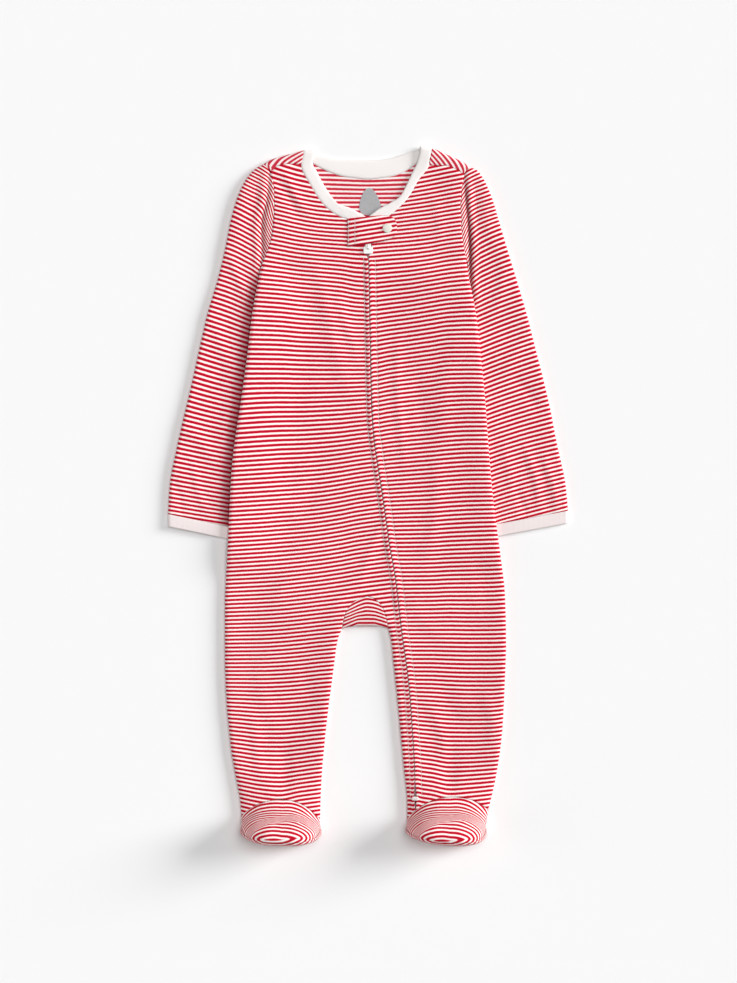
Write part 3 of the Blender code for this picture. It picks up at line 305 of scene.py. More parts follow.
# %% Rolled folds
OPEN_UP = 7.0  # length over which a fold opens into a seam, as at the armpit
ROLL_STEPS = 3  # facets in a quarter turn
ROLL_ANGLES = (0, 38, 66, 90)
OPEN_ANGLES = (90, 70, 50, 30, 0)  # round the ellipse on which a fold opens


def openness(distance):
    """How far a fold still turns at this distance before it opens into a seam: 1 to 0."""
    share = 1 - np.clip(distance / OPEN_UP, 0, 1)
    turn = 1 - np.sqrt(1 - share**2)
    return turn * (0.81 + 0.19 * turn)


def outward(points, sign):
    """Unit normals in the plane to a line of points that runs down the body."""
    run = np.gradient(points, axis=0)
    normal = np.stack([-run[:, 1], run[:, 0]], -1)
    normal /= np.linalg.norm(normal, axis=1, keepdims=True)
    return normal * np.where(normal[:, :1] * sign < 0, -1, 1)


def rolled(edge, normal, turn):
    """Columns of points from the flat to a folded edge, and how far each has dropped.

    The last facet is upright, so that the walls of two pieces end square to each other.
    """
    turn = np.maximum(turn, 1e-4)[:, None]
    angle = np.radians(ROLL_ANGLES)[None]
    back = FOLD / turn * (np.sin(turn * math.pi / 2) - np.sin(turn * angle))
    back[:, -2] *= 1 - turn[:, 0]
    drop = (FOLD - SEAM / 2) / turn * (1 - np.cos(turn * angle))
    return edge[:, None] - normal[:, None] * back[..., None], drop


print("turn of a fold 0, 2, 4 and 7 mm along it:", openness(np.array([0, 2, 4, 7])).round(2))

# %% Grids from lines
def ruled(inner, outer, shares):
    """Rows of points straight across between two lines."""
    return inner[:, None] + (outer - inner)[:, None] * shares[None, :, None]


def bent(block, fade, row, curve):
    """The block with one of its rows moved onto a curve, and the rows near it following."""
    return block + fade[:, None, None] * (curve - block[row])[None]


def raised(plan, z):
    """Points in plan with their heights."""
    return np.concatenate([plan, np.asarray(z)[..., None]], -1)


def plane(x, y):
    """Points in plan from their two coordinates."""
    return np.stack(np.broadcast_arrays(x, y), -1)


def closed(rings):
    """Rings of points with the first point of each one again at its end."""
    return np.concatenate([rings, rings[:, :1]], 1)


def toward(points, others):
    """Unit vectors from each point to another."""
    way = others - points
    return way / np.linalg.norm(way, axis=-1, keepdims=True)

# %% [markdown]
# ## Creases
#
# Cloth that lies loose keeps soft folds where it was held or sewn. They could come from noise, but
# noise looks even everywhere. Here each one is given between two points, with its own reach and
# depth, and a few long waves of different lengths lie under them.

# %% Where the creases lie
# each from one point to another, with its reach across and its height, or depth if negative
FRONT_CREASES = table(
    "x y x2 y2 reach rise",
    (-80, 306, -54, 264, 4.2, 1.2), (-89, 304, -65, 263, 3.6, -0.9), (-56, 228, -14, 92, 8, 1.0),
    (-28, 196, -12, 128, 5, 0.8), (-78, 232, -50, 150, 10, -0.6), (28, 146, 33, 20, 4.5, 0.9),
    (84, 158, 66, 38, 9, 0.7), (68, 44, 54, -78, 8, 0.9), (48, 120, 50, 44, 6, -0.5),
    (14, -18, -10, -98, 5, 0.8), (22, -40, 18, -84, 4, 0.6), (-12, -70, -34, -120, 6, 0.6),
    (56, -192, 80, -262, 6, 1.0), (64, -176, 96, -226, 7, -0.6), (112, -186, 120, -240, 6, 0.8),
    (-112, -208, -96, -276, 6, 1.0), (-104, -160, -88, -232, 8, 0.5),
    (-64, -150, -50, -230, 7, -0.4), (-60, -60, -96, -112, 9, 0.6), (-104, 40, -70, -30, 9, 0.5),
    (62, 285, 70, 236, 5, 0.6), (-40, 40, -72, -40, 9, -0.5), (88, -60, 112, -120, 8, 0.5),
    (40, -100, 72, -140, 7, 0.6),
)
SLEEVE_CREASES = {
    "right": table(
        "x y x2 y2 reach rise",
        (-118, 296, -126, 214, 6.0, 0.8), (-134, 240, -116, 176, 5.0, 0.8),
        (-150, 168, -128, 120, 6.0, 0.7), (-138, 120, -164, 84, 5.0, -0.6),
        (-176, 66, -142, 34, 6.5, 0.8), (-130, 96, -140, 40, 5.0, 0.6),
        (-168, 30, -152, -20, 4.0, 0.6), (-184, 20, -176, -24, 3.5, -0.5),
    ),
    "left": table(
        "x y x2 y2 reach rise",
        (110, 290, 124, 214, 7.0, 0.8), (136, 232, 116, 168, 5.5, 0.7),
        (152, 162, 130, 108, 6.0, 0.6), (138, 112, 166, 78, 5.0, -0.6),
        (150, 46, 166, -18, 4.2, 1.1), (168, 40, 180, -16, 4.0, 1.0), (130, 50, 136, 0, 5.0, 0.6),
        (142, 10, 150, -26, 3.4, -0.6),
    ),
}
print(len(FRONT_CREASES["x"]), "creases on the fronts")

# %% The folds beside the armholes
# past the trough's line: the ridge's place, reach and height, the trough's, and the painted shade's
FOLD_FORM = {
    "right": ((-4.2, 3.6, 1.1), (1.7, 2.0, -2.1), (1.5, 1.6, 0.3)),
    "left": ((-3.2, 2.8, 0.8), (1.4, 1.7, -1.8), (1.0, 1.9, 0.85)),
}
TROUGH = {
    "right": table(
        "y x deep",
        (185.0, -107.0, 0.0), (200.0, -104.5, 0.3), (221.8, -101.6, 0.8), (236.1, -101.0, 1),
        (247.5, -101.7, 1), (261.7, -101.2, 1), (279.8, -97.4, 0.9), (308.3, -94.5, 0.4),
        (318.0, -94.0, 0.0),
    ),
    "left": table(
        "y x deep",
        (175.0, 103.0, 0.0), (185.7, 101.4, 0.4), (205.7, 98.8, 0.9), (235.6, 98.2, 1),
        (252.2, 97.2, 1), (283.1, 94.6, 0.9), (303.5, 93.2, 0.4), (316.0, 93.0, 0.0),
    ),
}

# %% Creases and waves as heights
# each a sum of so much x, so much y and a start, and its height
WAVES = (
    (0.047, 0.021, 0.3, 0.24), (-0.031, 0.058, 1.7, 0.2),
    (0.083, -0.034, 4.1, 0.13), (0.02, 0.11, 2.6, 0.1),
)


def creases(x, y, rows):
    """Height of soft folds: each is a bell across its line, faded in and out along it."""
    total = np.zeros(np.broadcast(x, y).shape)
    for x1, y1, x2, y2, reach, rise in zip(*rows.values()):
        run = np.array([x2 - x1, y2 - y1])
        length = np.hypot(*run)
        share = ((x - x1) * run[0] + (y - y1) * run[1]) / length**2
        off = ((x - x1) * run[1] - (y - y1) * run[0]) / length
        off = off + 0.35 * reach * np.sin(5.3 * share + x1)
        fade = ease(share, -0.2, 0.3) * (1 - ease(share, 0.6, 1.2))
        total += rise * fade * np.exp(-((off / reach) ** 2))
    return total


def armhole_fold(side, x, y):
    """The deep fold of a sleeve beside its armhole: height, extra stripe count and painted shade.

    Past the line of the trough, towards the body, the cloth turns down and its stripes run steeply.
    """
    rows = TROUGH[side]
    deep = read(rows, "y", "deep", y)
    past = SIGN[side] * (read(rows, "y", "x", y) - x)  # towards the body
    bells = [high * bell(past, at, reach) for at, reach, high in FOLD_FORM[side]]
    slope = 0.13 * (past + np.sqrt(past**2 + 2.0))
    near = past + 8.0
    slope = slope + 0.035 * (near + np.sqrt(near**2 + 2.0)) * (1 - ease(past, 30, 60))
    return (bells[0] + bells[1]) * deep, -slope * deep, bells[2] * deep


def waves(x, y):
    """Long low waves: a sum of sines in four directions."""
    return sum(high * np.sin(a * x + b * y + c) for a, b, c, high in WAVES)

# %% The height of a front
UNDER_GUARD = (219, 228)  # the zip's ridge and grooves fade out between these heights
RIDGE = 0.8  # how much the cloth rises beside the zip
GROOVES = (0.2, 0.25)  # depths of the two rows of stitches


def front_z(x, y):
    """Height of the fronts' outer face: folds, crowned legs, a ridge beside the zip, creases."""
    flat = flatness(x, y)
    base = lift(x, y) + 2 * FOLD + (LIE - 2 * FOLD) * flat + leg_crown(x, y)
    off = x - read(ZIP, "y", "x", y)
    ridge = RIDGE * bell(np.abs(off), 1.9, 2.5)
    ridge = ridge - GROOVES[0] * bell(off, -4.6, 0.8) - GROOVES[1] * bell(off, 6.4, 0.9)
    ridge = ridge * (1 - ease(y, *UNDER_GUARD)) * flat
    calm = 1 - np.exp(-((x / 36) ** 2) - ((y - 250) / 34) ** 2)
    return base + ridge + calm * (creases(x, y, FRONT_CREASES) + flat * waves(x, y))


print(f"height of the front at the waist: {front_z(np.zeros(1), np.full(1, 60.0))[0]:.1f} mm")

# %% [markdown]
# ## The grids of the body
#
# A side of the body is ruled between the zip or the middle and the folded side, and rolled round
# the fold itself. A flat sheet cut to the outline would be simpler, but its edges would look like
# paper. The rows follow the cut: shoulder, armhole, trunk, crotch, leg and ankle.

# %% Where the rows run
YOKE_BASE = 165.0  # the rows above this height fan out towards the neck and shoulders
YOKE_SHARES = (1.0, 0.8, 0.6, 0.4, 0.2)  # of the armhole
# distances over which a fold opens, then distances under the armpit, then heights
FADE_ROWS = tuple(OPEN_UP * (1 - math.cos(math.radians(angle))) for angle in OPEN_ANGLES)
UNDER_ARM = (2.5, 6.0, 11.0, 18.0, 28.0)
TRUNK_ROWS = (140, 112, 84, 56, 28, 0, -25, -45, -58, -72, -84)
GUSSET_ROWS = (GUSSET_TOP, -97.4, -100.5, -105.0, -110.5)
LEG_ROWS = (-129, -134, -142, -156, -176, -198, -220, -240)
ANKLE_ROWS = (-255, -266, -276, -288)


def armhole(side):
    """Points up the armhole, their distances from the armpit, and those of the body's rows."""
    y = np.linspace(ARMPIT[side], EDGE[side]["y"][-1], 80)
    points = plane(edge_x(side, y), y)
    length = np.r_[0, np.cumsum(np.linalg.norm(np.diff(points, axis=0), axis=1))]
    seam = np.interp(FRONT_TOP[side]["y"][-1], y, length)
    return points, length, np.r_[OPEN_UP + (seam - OPEN_UP) * np.array(YOKE_SHARES), FADE_ROWS]


print("armholes:", {side: f"{armhole(side)[1][-1]:.0f} mm long" for side in SIGN})

# %% The rows of one side of the body
class Half:
    """The rows of one side of the body, from its top edge to its ankle or heel seam.

    more: heights of rows above the front's, as the back has.
    """

    def __init__(self, side, more, centre_top, low_in, low_out):
        self.side, self.sign = side, SIGN[side]
        pit = ARMPIT[side]
        points, length, up = armhole(side)
        beside, under = np.interp(up, length, points[:, 1]), pit - np.array(UNDER_ARM)
        yoke = np.array([*more, *beside, *under, YOKE_BASE])
        top = yoke[0]
        self.apex = len(yoke) + len(TRUNK_ROWS)
        crotch = [CROTCH + up for up in FADE_ROWS]
        rest = np.array((*TRUNK_ROWS, *GUSSET_ROWS, *crotch, *LEG_ROWS, *ANKLE_ROWS), float)
        share = (yoke - YOKE_BASE) / (top - YOKE_BASE)
        low = np.clip((rest - LEG_ROWS[-1]) / (ANKLE_ROWS[-1] - LEG_ROWS[-1]), 0, 1)
        self.top = np.r_[share, np.zeros(len(rest))]
        self.low = np.r_[np.zeros(len(yoke)), low]
        self.rest = rest
        self.y_in = self.inner_rows(centre_top, low_in)
        self.y_out = np.r_[yoke, self.inner_rows(centre_top, low_out)[len(yoke) :]]
        edge = plane(edge_x(side, self.y_out), self.y_out)
        turn = openness(np.interp(self.y_out, points[:, 1], length))
        self.roll, self.roll_drop = rolled(edge, outward(edge, self.sign), turn)

    def inner_rows(self, top, low):
        """Heights of the rows at an inner line with this top and this lowest point."""
        yoke = YOKE_BASE + self.top[: -len(self.rest)] * (top - YOKE_BASE)
        share = self.low[len(yoke) :]
        fanned = LEG_ROWS[-1] + share * (low - LEG_ROWS[-1])
        return np.r_[yoke, np.where(share > 0, fanned, self.rest)]

    def panel(self, inner, shares, top, bottom):
        """Points from the inner line to the side fold, each in plan with its drop from the face.

        top and bottom take points of the first and last row to the curves they end on.
        """
        flat = ruled(inner, self.roll[:, 0], shares)
        flat = bent(flat, self.top, 0, top(flat[0]))
        plan = np.concatenate([flat, self.roll[:, 1:]], 1)
        plan = bent(plan, self.low, -1, bottom(plan[-1]))
        drop = np.zeros(plan.shape[:2])
        drop[:, len(shares) - 1 :] = self.roll_drop
        return raised(plan, drop)

# %% The inner folds of the legs
def leg_fold(side, y):
    """Plan of the inner fold of a leg from the gusset's top down, its drops and its normals."""
    edge = plane(inner_x(side, y), y)
    turn = np.where(y > CROTCH, openness(y - CROTCH), 1.0)
    normal = outward(edge, -SIGN[side])
    plan, drop = rolled(edge, normal, turn)
    plan[0] = edge[0] + plane(0.0, np.linalg.norm(plan[0] - edge[0], axis=1))
    return plan, drop, normal

# %% The line that the right front's grids share
JOIN_TOP = (-17.0, 262.0)  # its upper end, on the neckline


def join_line(y, top_x, top_y):
    """A line from a point of the neckline to the top of the gusset."""
    share = (y - GUSSET_TOP) / (top_y - GUSSET_TOP)
    return plane(INNER["right"]["x"][-1] + (top_x - INNER["right"]["x"][-1]) * share, y)

# %% The edges along the zip
SLIT = 0.35  # half of the slit between the two fronts
SLIDER_SLIT = 3.6  # the same beside the slider


def slit_half(y):
    """Half of the zip's slit: wider beside the slider, and a little at the lower stop."""
    near = ease(y, 227, 233) * (1 - ease(y, 243, 250))
    stop = 0.9 * bell(y, -283.6, 1.6)
    return SLIT + (SLIDER_SLIT - SLIT) * near + stop


def zip_line(y, sign):
    """The edge of a front along the zip."""
    return plane(read(ZIP, "y", "x", y) + sign * slit_half(y), y)

# %% The ankle seams, and shares of the way across a front
ANKLE = {
    "right": table(
        "x y",
        (-119.9, -303.0), (-112.1, -296.9), (-100.7, -291.2), (-83.1, -287.9),
        (-68.4, -290.7), (-60.4, -294.3), (-50.4, -302.3), (-45.3, -307.0),
    ),
    "left": table(
        "x y",
        (37.3, -305.6), (45.6, -298.3), (57.0, -290.7), (68.4, -286.9), (79.8, -285.5),
        (92.1, -286.9), (104.5, -291.2), (114.2, -298.0),
    ),
}


def across_front(side, inner, outer):
    """Shares of the way across, one of them at the corner of the neckline."""
    corner = (NECK_CORNER[side] - inner) / (outer - inner)
    return np.r_[np.linspace(0, corner, 7 if side == "left" else 6), np.linspace(corner, 1, 3)[1:]]

# %% The grids of the fronts
def fronts():
    """Blocks of the left front, and of the right front with the strip beside the zip.

    Their points are in plan, with the drop from the outer face in place of a height.
    """

    def top(side):
        return lambda row: plane(row[:, 0], read(FRONT_TOP[side], "out", "y", np.abs(row[:, 0])))

    def bottom(side):
        return lambda row: plane(row[:, 0], read(ANKLE[side], "x", "y", row[:, 0]))

    left_y, right_y = ANKLE["left"]["y"], ANKLE["right"]["y"]
    zip_x = float(read(ZIP, "y", "x", -300.0))
    zip_low = float(read(ANKLE["left"], "x", "y", zip_x))
    neck = FRONT_TOP["left"]["y"][0]

    half = Half("left", (), neck, zip_low, left_y[-1])
    inner = zip_line(half.y_in, 1)
    shares = across_front("left", inner[0, 0], half.roll[0, 0, 0])
    left = [half.panel(inner, shares, top("left"), bottom("left"))]

    half = Half("right", (), JOIN_TOP[1], right_y[-1], right_y[0])
    apex = half.apex
    fold, drop, _ = leg_fold("right", half.y_in[apex:])
    inner = join_line(half.y_in, *JOIN_TOP)
    inner[apex:] = fold[:, 0]
    fold = bent(fold, half.low[apex:], -1, bottom("right")(fold[-1]))
    shares = across_front("right", -inner[0, 0], -half.roll[0, 0, 0])
    right = [half.panel(inner, shares, top("right"), bottom("right")), raised(fold, drop)]

    # the strip from the zip to that, which goes on down the inside of the left leg
    y = half.inner_rows(JOIN_TOP[1], left_y[0])
    fold, drop, _ = leg_fold("left", y[apex:])
    outer = join_line(y, *JOIN_TOP)
    outer[apex:] = fold[:, 0]
    fold = bent(fold, half.low[apex:], -1, bottom("left")(fold[-1]))
    flat = ruled(zip_line(half.inner_rows(neck, zip_low), -1), outer, np.linspace(0, 1, 4))
    flat = bent(flat, half.top, 0, top("right")(flat[0]))
    flat = bent(flat, half.low, -1, bottom("left")(flat[-1]))
    right += [raised(flat, np.zeros(flat.shape[:2])), raised(fold, drop)]
    return left, right

# %% Over the shoulders
def shoulder_lines(side, seam):
    """The fold over the shoulder opposite points of the seam in front, and the way between."""
    start, end = NECK_CORNER[side], FRONT_TOP[side]["out"][-1]
    share = (np.abs(seam[:, 0]) - start) / (end - start)
    out = FOLD_CORNER[side] + share * (SHOULDER[side]["out"][-1] - FOLD_CORNER[side])
    fold = plane(SIGN[side] * out, read(SHOULDER[side], "out", "y", out))
    return fold, toward(seam, fold)


def over_shoulder(side, seam):
    """Points of a flap of the back, up over the fold and down to the seam in front."""
    fold, way = shoulder_lines(side, seam)
    rows = []
    for angle in np.radians(np.linspace(-90, 90, 2 * ROLL_STEPS + 1)):
        plan = fold - way * FOLD * (1 - math.cos(angle))
        rows.append(raised(plan, np.full(len(plan), FOLD * (1 + math.sin(angle)))))
    start, end = fold - way * FOLD, seam + way * SEAM
    for share in (0.5, 1.0):
        plan = start + (end - start) * share
        rows.append(raised(plan, front_z(plan[:, 0], plan[:, 1])))
    rows = np.array(rows)
    rows[:, -1, 0] = edge_x(side, rows[:, -1, 1])
    return rows

# %% The grids of the back
HEEL_DEEP = 8.5  # how far the heel seam bows down at its middle


def heel_y(side, x):
    """y of the heel seam."""
    foot = FOOT[side]
    off = np.clip(np.abs(x - foot["x"]) / (foot["half"] - FOLD), 0, 1)
    return FOOT_SIDE - HEEL_DEEP * (1 - off**2)


def back(shoulder_seams):
    """Both halves of the back with the inner folds of the legs, and its shoulder flaps."""
    blocks, heels, centre = [], {}, None
    for side in SIGN:
        neck_y = BACK_NECK[side]["y"][0]
        flap = over_shoulder(side, shoulder_seams[side])
        half = Half(side, (flap[0, -1, 1],), neck_y, FOOT_SIDE, FOOT_SIDE)
        centre = half.y_in if centre is None else centre
        fold, rise, _ = leg_fold(side, centre[half.apex :])
        inner = join_line(centre, 0.0, neck_y)
        inner[half.apex :] = fold[:, 0]
        corner = (flap[0, 0, 0] - inner[0, 0]) / (half.roll[0, 0, 0] - inner[0, 0])
        shares = np.r_[np.linspace(0, corner, 6), np.linspace(corner, 1, 3)[1:]]

        def top(row, side=side, flap=flap):
            neck = plane(row[:5, 0], read(BACK_NECK[side], "out", "y", np.abs(row[:5, 0])))
            return np.concatenate([neck, flap[0, :3, :2]])

        def heel(row, side=side):
            return plane(row[:, 0], heel_y(side, row[:, 0]))

        fold = bent(fold, half.low[half.apex :], -1, heel(fold[-1]))
        block = half.panel(inner, shares, top, heel)
        block[..., 2] += lift(block[..., 0], block[..., 1])
        block[0, 5:] = flap[0]
        blocks += [block, raised(fold, lift(fold[..., 0], fold[..., 1]) + rise), flap]
        heels[side] = np.concatenate([blocks[-2][-1, ::-1], block[-1, 1:]])
    return blocks, heels

# %% The grid of the gusset
CROTCH_FOLD = -124.0  # y of the gusset's fold, in its middle


def gusset():
    """The diamond between the legs, from its point in front, round the crotch and up behind."""
    y = np.r_[np.array(GUSSET_ROWS), CROTCH + np.array(FADE_ROWS), LEG_ROWS[0]]
    rows = len(y) - 1
    sides = []
    for side in SIGN:
        plan, drop, normal = leg_fold(side, y)
        edge = (plan[:, -1] + normal * SEAM)[1:rows]
        sides.append((edge, drop[1:rows, -1]))
    angle = np.linspace(0, math.pi / 2, len(FADE_ROWS))
    middle_y = np.r_[y[0] - 0.4, y[2] + 0.8, y[3], y[4], CROTCH_FOLD + FOLD - FOLD * np.sin(angle)]
    across = np.linspace(-1, 1, 7)
    layers = []
    for up in (1, -1):
        rise = np.r_[np.zeros(4), FOLD * (1 - np.cos(angle))]
        ends = []
        for edge, drop in sides:
            z = front_z(edge[:, 0], edge[:, 1]) - drop if up > 0 else drop
            z[-1] = FOLD
            ends.append(raised(edge, z))
        middle = (ends[0] + ends[1]) / 2
        flat = front_z(middle[:, 0], middle_y) if up > 0 else np.zeros(len(middle_y))
        target = raised(plane(middle[:, 0], middle_y), flat - up * rise)
        target[-1, 2] = FOLD
        swell = np.where(np.arange(len(target))[:, None] == 0, 1 - np.abs(across), 1 - across**4)
        line = ends[0][:, None] + (ends[1] - ends[0])[:, None] * ((across + 1) / 2)[None, :, None]
        layers.append(line + swell[..., None] * (target - middle)[:, None])
    return np.concatenate([layers[0], layers[1][-2::-1]])


print("grid of the gusset:", gusset().shape[:2])

# %% The grid of the neck binding
# the free edge of the binding, in front from the zip and behind to the middle
FREE_FRONT = {
    "right": (
        (-2.0, 264.6), (-5.9, 265.7), (-13.6, 272.3), (-19.6, 273.9), (-26.6, 275.8),
        (-32.7, 281.6), (-41.4, 294.1), (-49.6, 309.9), (-52.6, 317.0), (-50.5, 324.9),
    ),
    "left": (
        (0.4, 264.6), (3.8, 265.8), (11.4, 273.4), (15.9, 276.2), (22.9, 278.3),
        (32.8, 287.0), (37.6, 297.3), (43.1, 308.8), (47.5, 318.7), (49.5, 329.0),
    ),
}
FREE_BACK = {
    "right": ((-50.5, 324.9), (-38.0, 320.6), (-25.0, 318.9), (-14.2, 318.4), (0.0, 318.3)),
    "left": (
        (49.5, 329.0), (39.5, 326.0), (30.6, 323.0), (19.7, 320.0), (8.7, 318.6), (0.0, 318.3),
    ),
}
NECK_GAP = 0.4  # between the binding and the neckline


def binding(necks, backs, shoulder_seams):
    """The neck binding, from the zip over each shoulder to the middle of the back.

    necks, backs: points of the fronts' necklines from the zip, and of the back's from its middle.
    """
    rows = {}
    for side in SIGN:
        neck = necks[side][:, :2]
        fold, way = shoulder_lines(side, shoulder_seams[side][:1])
        path = np.concatenate([neck, fold - way * FOLD])
        free = along(FREE_FRONT[side], np.linspace(0, 1, len(path)))
        path = path + NECK_GAP * toward(path, free)
        high = front_z(path[:, 0], path[:, 1])
        low = LIE + (high - LIE) * np.linspace(0.3, 1, len(path))
        part = [np.stack([raised(path, high), raised(free, low)], 1)]
        seam_fold, free_fold = path[-1] + way[0] * FOLD, free[-1] + (0, FOLD)
        for angle in np.radians(np.linspace(90, -90, 2 * ROLL_STEPS + 1))[1:]:
            away, z = FOLD * (1 - math.cos(angle)), FOLD * (1 + math.sin(angle))
            part.append([[(*(seam_fold - way[0] * away), z), (*(free_fold - (0, away)), z)]])
        path = backs[side][-2::-1, :2]
        free = along(FREE_BACK[side], np.linspace(0, 1, len(path) + 1))[1:]
        path = path + NECK_GAP * toward(path, free)
        floor = np.zeros(len(path))
        part.append(np.stack([raised(path, floor), raised(free, floor)], 1))
        rows[side] = np.concatenate(part)
    strip = np.concatenate([rows["right"], rows["left"][-2::-1]])
    return np.stack([strip[:, 0], strip.mean(1), strip[:, 1]], 1)

# %% [markdown]
# ## The grids of the sleeves
#
# A sleeve is a flattened ring carried from the armhole to the cuff. It could be two flat sheets,
# but a ring keeps it one tube, with a fold along each side.

# %% The inner fold of a sleeve
# sections from the armhole down: the outer fold, y of the inner one, and the height
SLEEVE = {
    "right": table(
        "at x y inner height",
        (0, -99.3, 314.4, 216.1, 6.0), (1, -106.4, 310.6, 213.8, 5.7),
        (2, -114.9, 301.6, 210.6, 4.2), (3, -123.5, 284.5, 206.0, 4.7),
        (4, -130.2, 261.7, 199.5, 5.0), (5, -135.8, 233.2, 188.0, 4.5),
        (6, -143.4, 202.8, 173.0, 4.2), (7, -152.0, 174.3, 154.0, 4.2),
        (8, -158.7, 145.8, 130.0, 4.6), (9, -166.2, 111.6, 99.0, 4.2),
        (10, -173.8, 79.3, 69.0, 4.2), (11, -181.4, 46.1, 36.0, 4.6), (12, -188.1, 10.9, 3.0, 4.2),
        (13, -190.0, -17.6, -32.4, 4.4),
    ),
    "left": table(
        "at x y inner height",
        (0, 96.9, 311.8, 221.8, 6.0), (1, 103.5, 308.9, 219.4, 5.7), (2, 110.7, 298.8, 216.0, 4.2),
        (3, 117.8, 282.6, 211.0, 4.7), (4, 124.4, 260.8, 204.0, 5.0), (5, 132.0, 235.1, 193.0, 4.5),
        (6, 141.5, 203.8, 178.0, 4.2), (7, 151.0, 171.5, 158.0, 4.2), (8, 158.2, 143.0, 133.5, 4.6),
        (9, 165.8, 113.5, 104.0, 4.2), (10, 172.9, 83.1, 72.0, 4.2), (11, 179.5, 48.9, 38.0, 4.6),
        (12, 187.6, 10.9, 5.0, 4.2), (13, 190.0, -14.4, -28.6, 4.4),
    ),
}
CUFF_IN = {"right": -118.6, "left": 114.5}  # x of the sleeve's inner fold at the cuff


def sleeve_in(side, y):
    """x of the sleeve's inner fold: straight, and clear of the body's edge at the armpit."""
    sign, pit = SIGN[side], ARMPIT[side]
    start, end = edge_x(side, pit), CUFF_IN[side]
    straight = start + (end - start) * (pit - y) / (pit - SLEEVE[side]["inner"][-1])
    edge = edge_x(side, y)
    down = np.clip((pit - y) / LIFT_START, 0, 1)
    above = 1 + LIFT * (1 - (1 - down) ** 3)
    reach = FOLD + SLEEVE_IN
    tuck = reach - np.sqrt(np.clip((reach + 0.5) ** 2 - above**2, 0, None)) - 0.6
    tuck = np.where(above > reach + 0.4, 99, tuck)
    return sign * np.maximum(sign * straight, sign * edge - tuck)

# %% A flattened ring
def tube_ring(inner, outer, curve, flats, open_in, heights):
    """A flattened ring of cloth between an inner and an outer fold.

    curve: gives the points of its line in plan at shares of its length; flats: the shares of the
    points between the folds; heights: at the inner fold, between the folds, at the outer fold.
    """
    length = np.linalg.norm(outer - inner)
    opening = np.radians(OPEN_ANGLES)
    opening = np.r_[-opening, opening[-2::-1]]
    turn = np.radians(np.linspace(90, -90, 2 * ROLL_STEPS + 1))
    along_it = flats * length
    low, mid, high = heights
    start = open_in * (1 - np.cos(opening)) / length
    end = 1 - high / 2 * (1 - np.cos(turn)) / length
    z = mid + (low - mid) * settle(along_it + 1) + (high - mid) * settle(length - along_it)
    share = np.r_[start, flats, end, flats[::-1]]
    z = np.r_[low / 2 * (1 + np.sin(opening)), z, high / 2 * (1 + np.sin(turn)), 0 * flats]
    return raised(inner + (outer - inner) * share[:, None] + curve(share), z)

# %% The rings of a sleeve
CUFF_LENGTH, CUFF_HEIGHT = 11.8, 4.6
SLEEVE_BOW = (1.0, 0.8, 0.58, 0.36, 0.18, 0.06)  # how much of the armhole's curve a section keeps
SLEEVE_OPEN = (7.0, 5.8, 4.6, 3.4, 2.6)  # length of the inner fold's ellipse, then SLEEVE_IN
CUFF_ROWS = ((SEAM, 0), (2.5, 0.25), (CUFF_LENGTH / 2, 0.3), (CUFF_LENGTH, 0.0))  # way down, swell


def sleeve(side):
    """Rings of a sleeve from its armhole to its cuff, then those of the cuff."""
    rows = SLEEVE[side]
    hole, length, up = armhole(side)
    hole = hole + outward(hole, SIGN[side]) * SEAM
    flats = up[: len(YOKE_SHARES)][::-1] / length[-1]

    def bow(kept):
        def curve(share):
            at = np.clip(share, 0, 1) * length[-1]
            points = np.stack([np.interp(at, length, hole[:, k]) for k in (0, 1)], -1)
            return kept * (points - (hole[0] + (hole[-1] - hole[0]) * share[:, None]))

        return curve

    rings = []
    for i in range(len(rows["at"])):
        outer = np.array([rows["x"][i], rows["y"][i]])
        inner = np.array([float(sleeve_in(side, rows["inner"][i])), rows["inner"][i]])
        if i == 0:
            inner, outer = hole[0], hole[-1]
        kept = SLEEVE_BOW[i] if i < len(SLEEVE_BOW) else 0.0
        open_in = SLEEVE_OPEN[i] if i < len(SLEEVE_OPEN) else SLEEVE_IN
        low = 2 * SLEEVE_IN + max(0, 1 - i / 4) * 2 * (FOLD - SLEEVE_IN)
        heights = (low, rows["height"][i], 2 * FOLD if i == 0 else 5.4)
        rings.append(tube_ring(inner, outer, bow(kept), flats, open_in, heights))
    cuff = []
    for down, swell in CUFF_ROWS:
        shift = np.array([0, -down])
        heights = (2 * SLEEVE_IN, CUFF_HEIGHT + swell, 5.0)
        cuff.append(tube_ring(inner + shift, outer + shift, bow(0.0), flats, SLEEVE_IN, heights))
    return np.array(rings), np.array(cuff)


print("rings of the right sleeve and its cuff:", [part.shape[:2] for part in sleeve("right")])

# %% [markdown]
# ## The grids of the feet
#
# A foot is sewn from a top and a sole. One grid over both would have no seam, so it is two that
# share the toe seam, one from the ankle over the instep and one from the heel up the sole.

# %% The seam round the toes
TOE_LOW, TOE_Z = 9.0, 46.0  # heights of the toe seam's ends and of its top
TOE_BULGE = 4.8  # how far the sole stands out beyond the seam
TOE_GAP = 1.3  # the top's edge and the sole's meet at an angle
ANKLE_GAP = 0.4
FOOT_SQUARE = 0.7  # 1 is an ellipse, less is squarer
# shares of the way from the ankle to the toe seam, and of the rise between them
INSTEP = table(
    "way rise", (0, 0), (0.12, 0.08), (0.25, 0.19), (0.38, 0.44), (0.49, 0.69),
    (0.64, 0.9), (0.78, 1.02), (0.90, 1.045), (1.0, 1.0),
)
# shares of the height, of the way out to the widest outline, and of the way back in to the seam
SOLE = table(
    "height out back", (0, 0, 0), (0.0001, 0.55, 0), (0.05, 0.88, 0), (0.18, 1, 0),
    (0.48, 1, 0.05), (0.76, 1, 0.24), (0.93, 1, 0.56), (1, 1, 1),
)


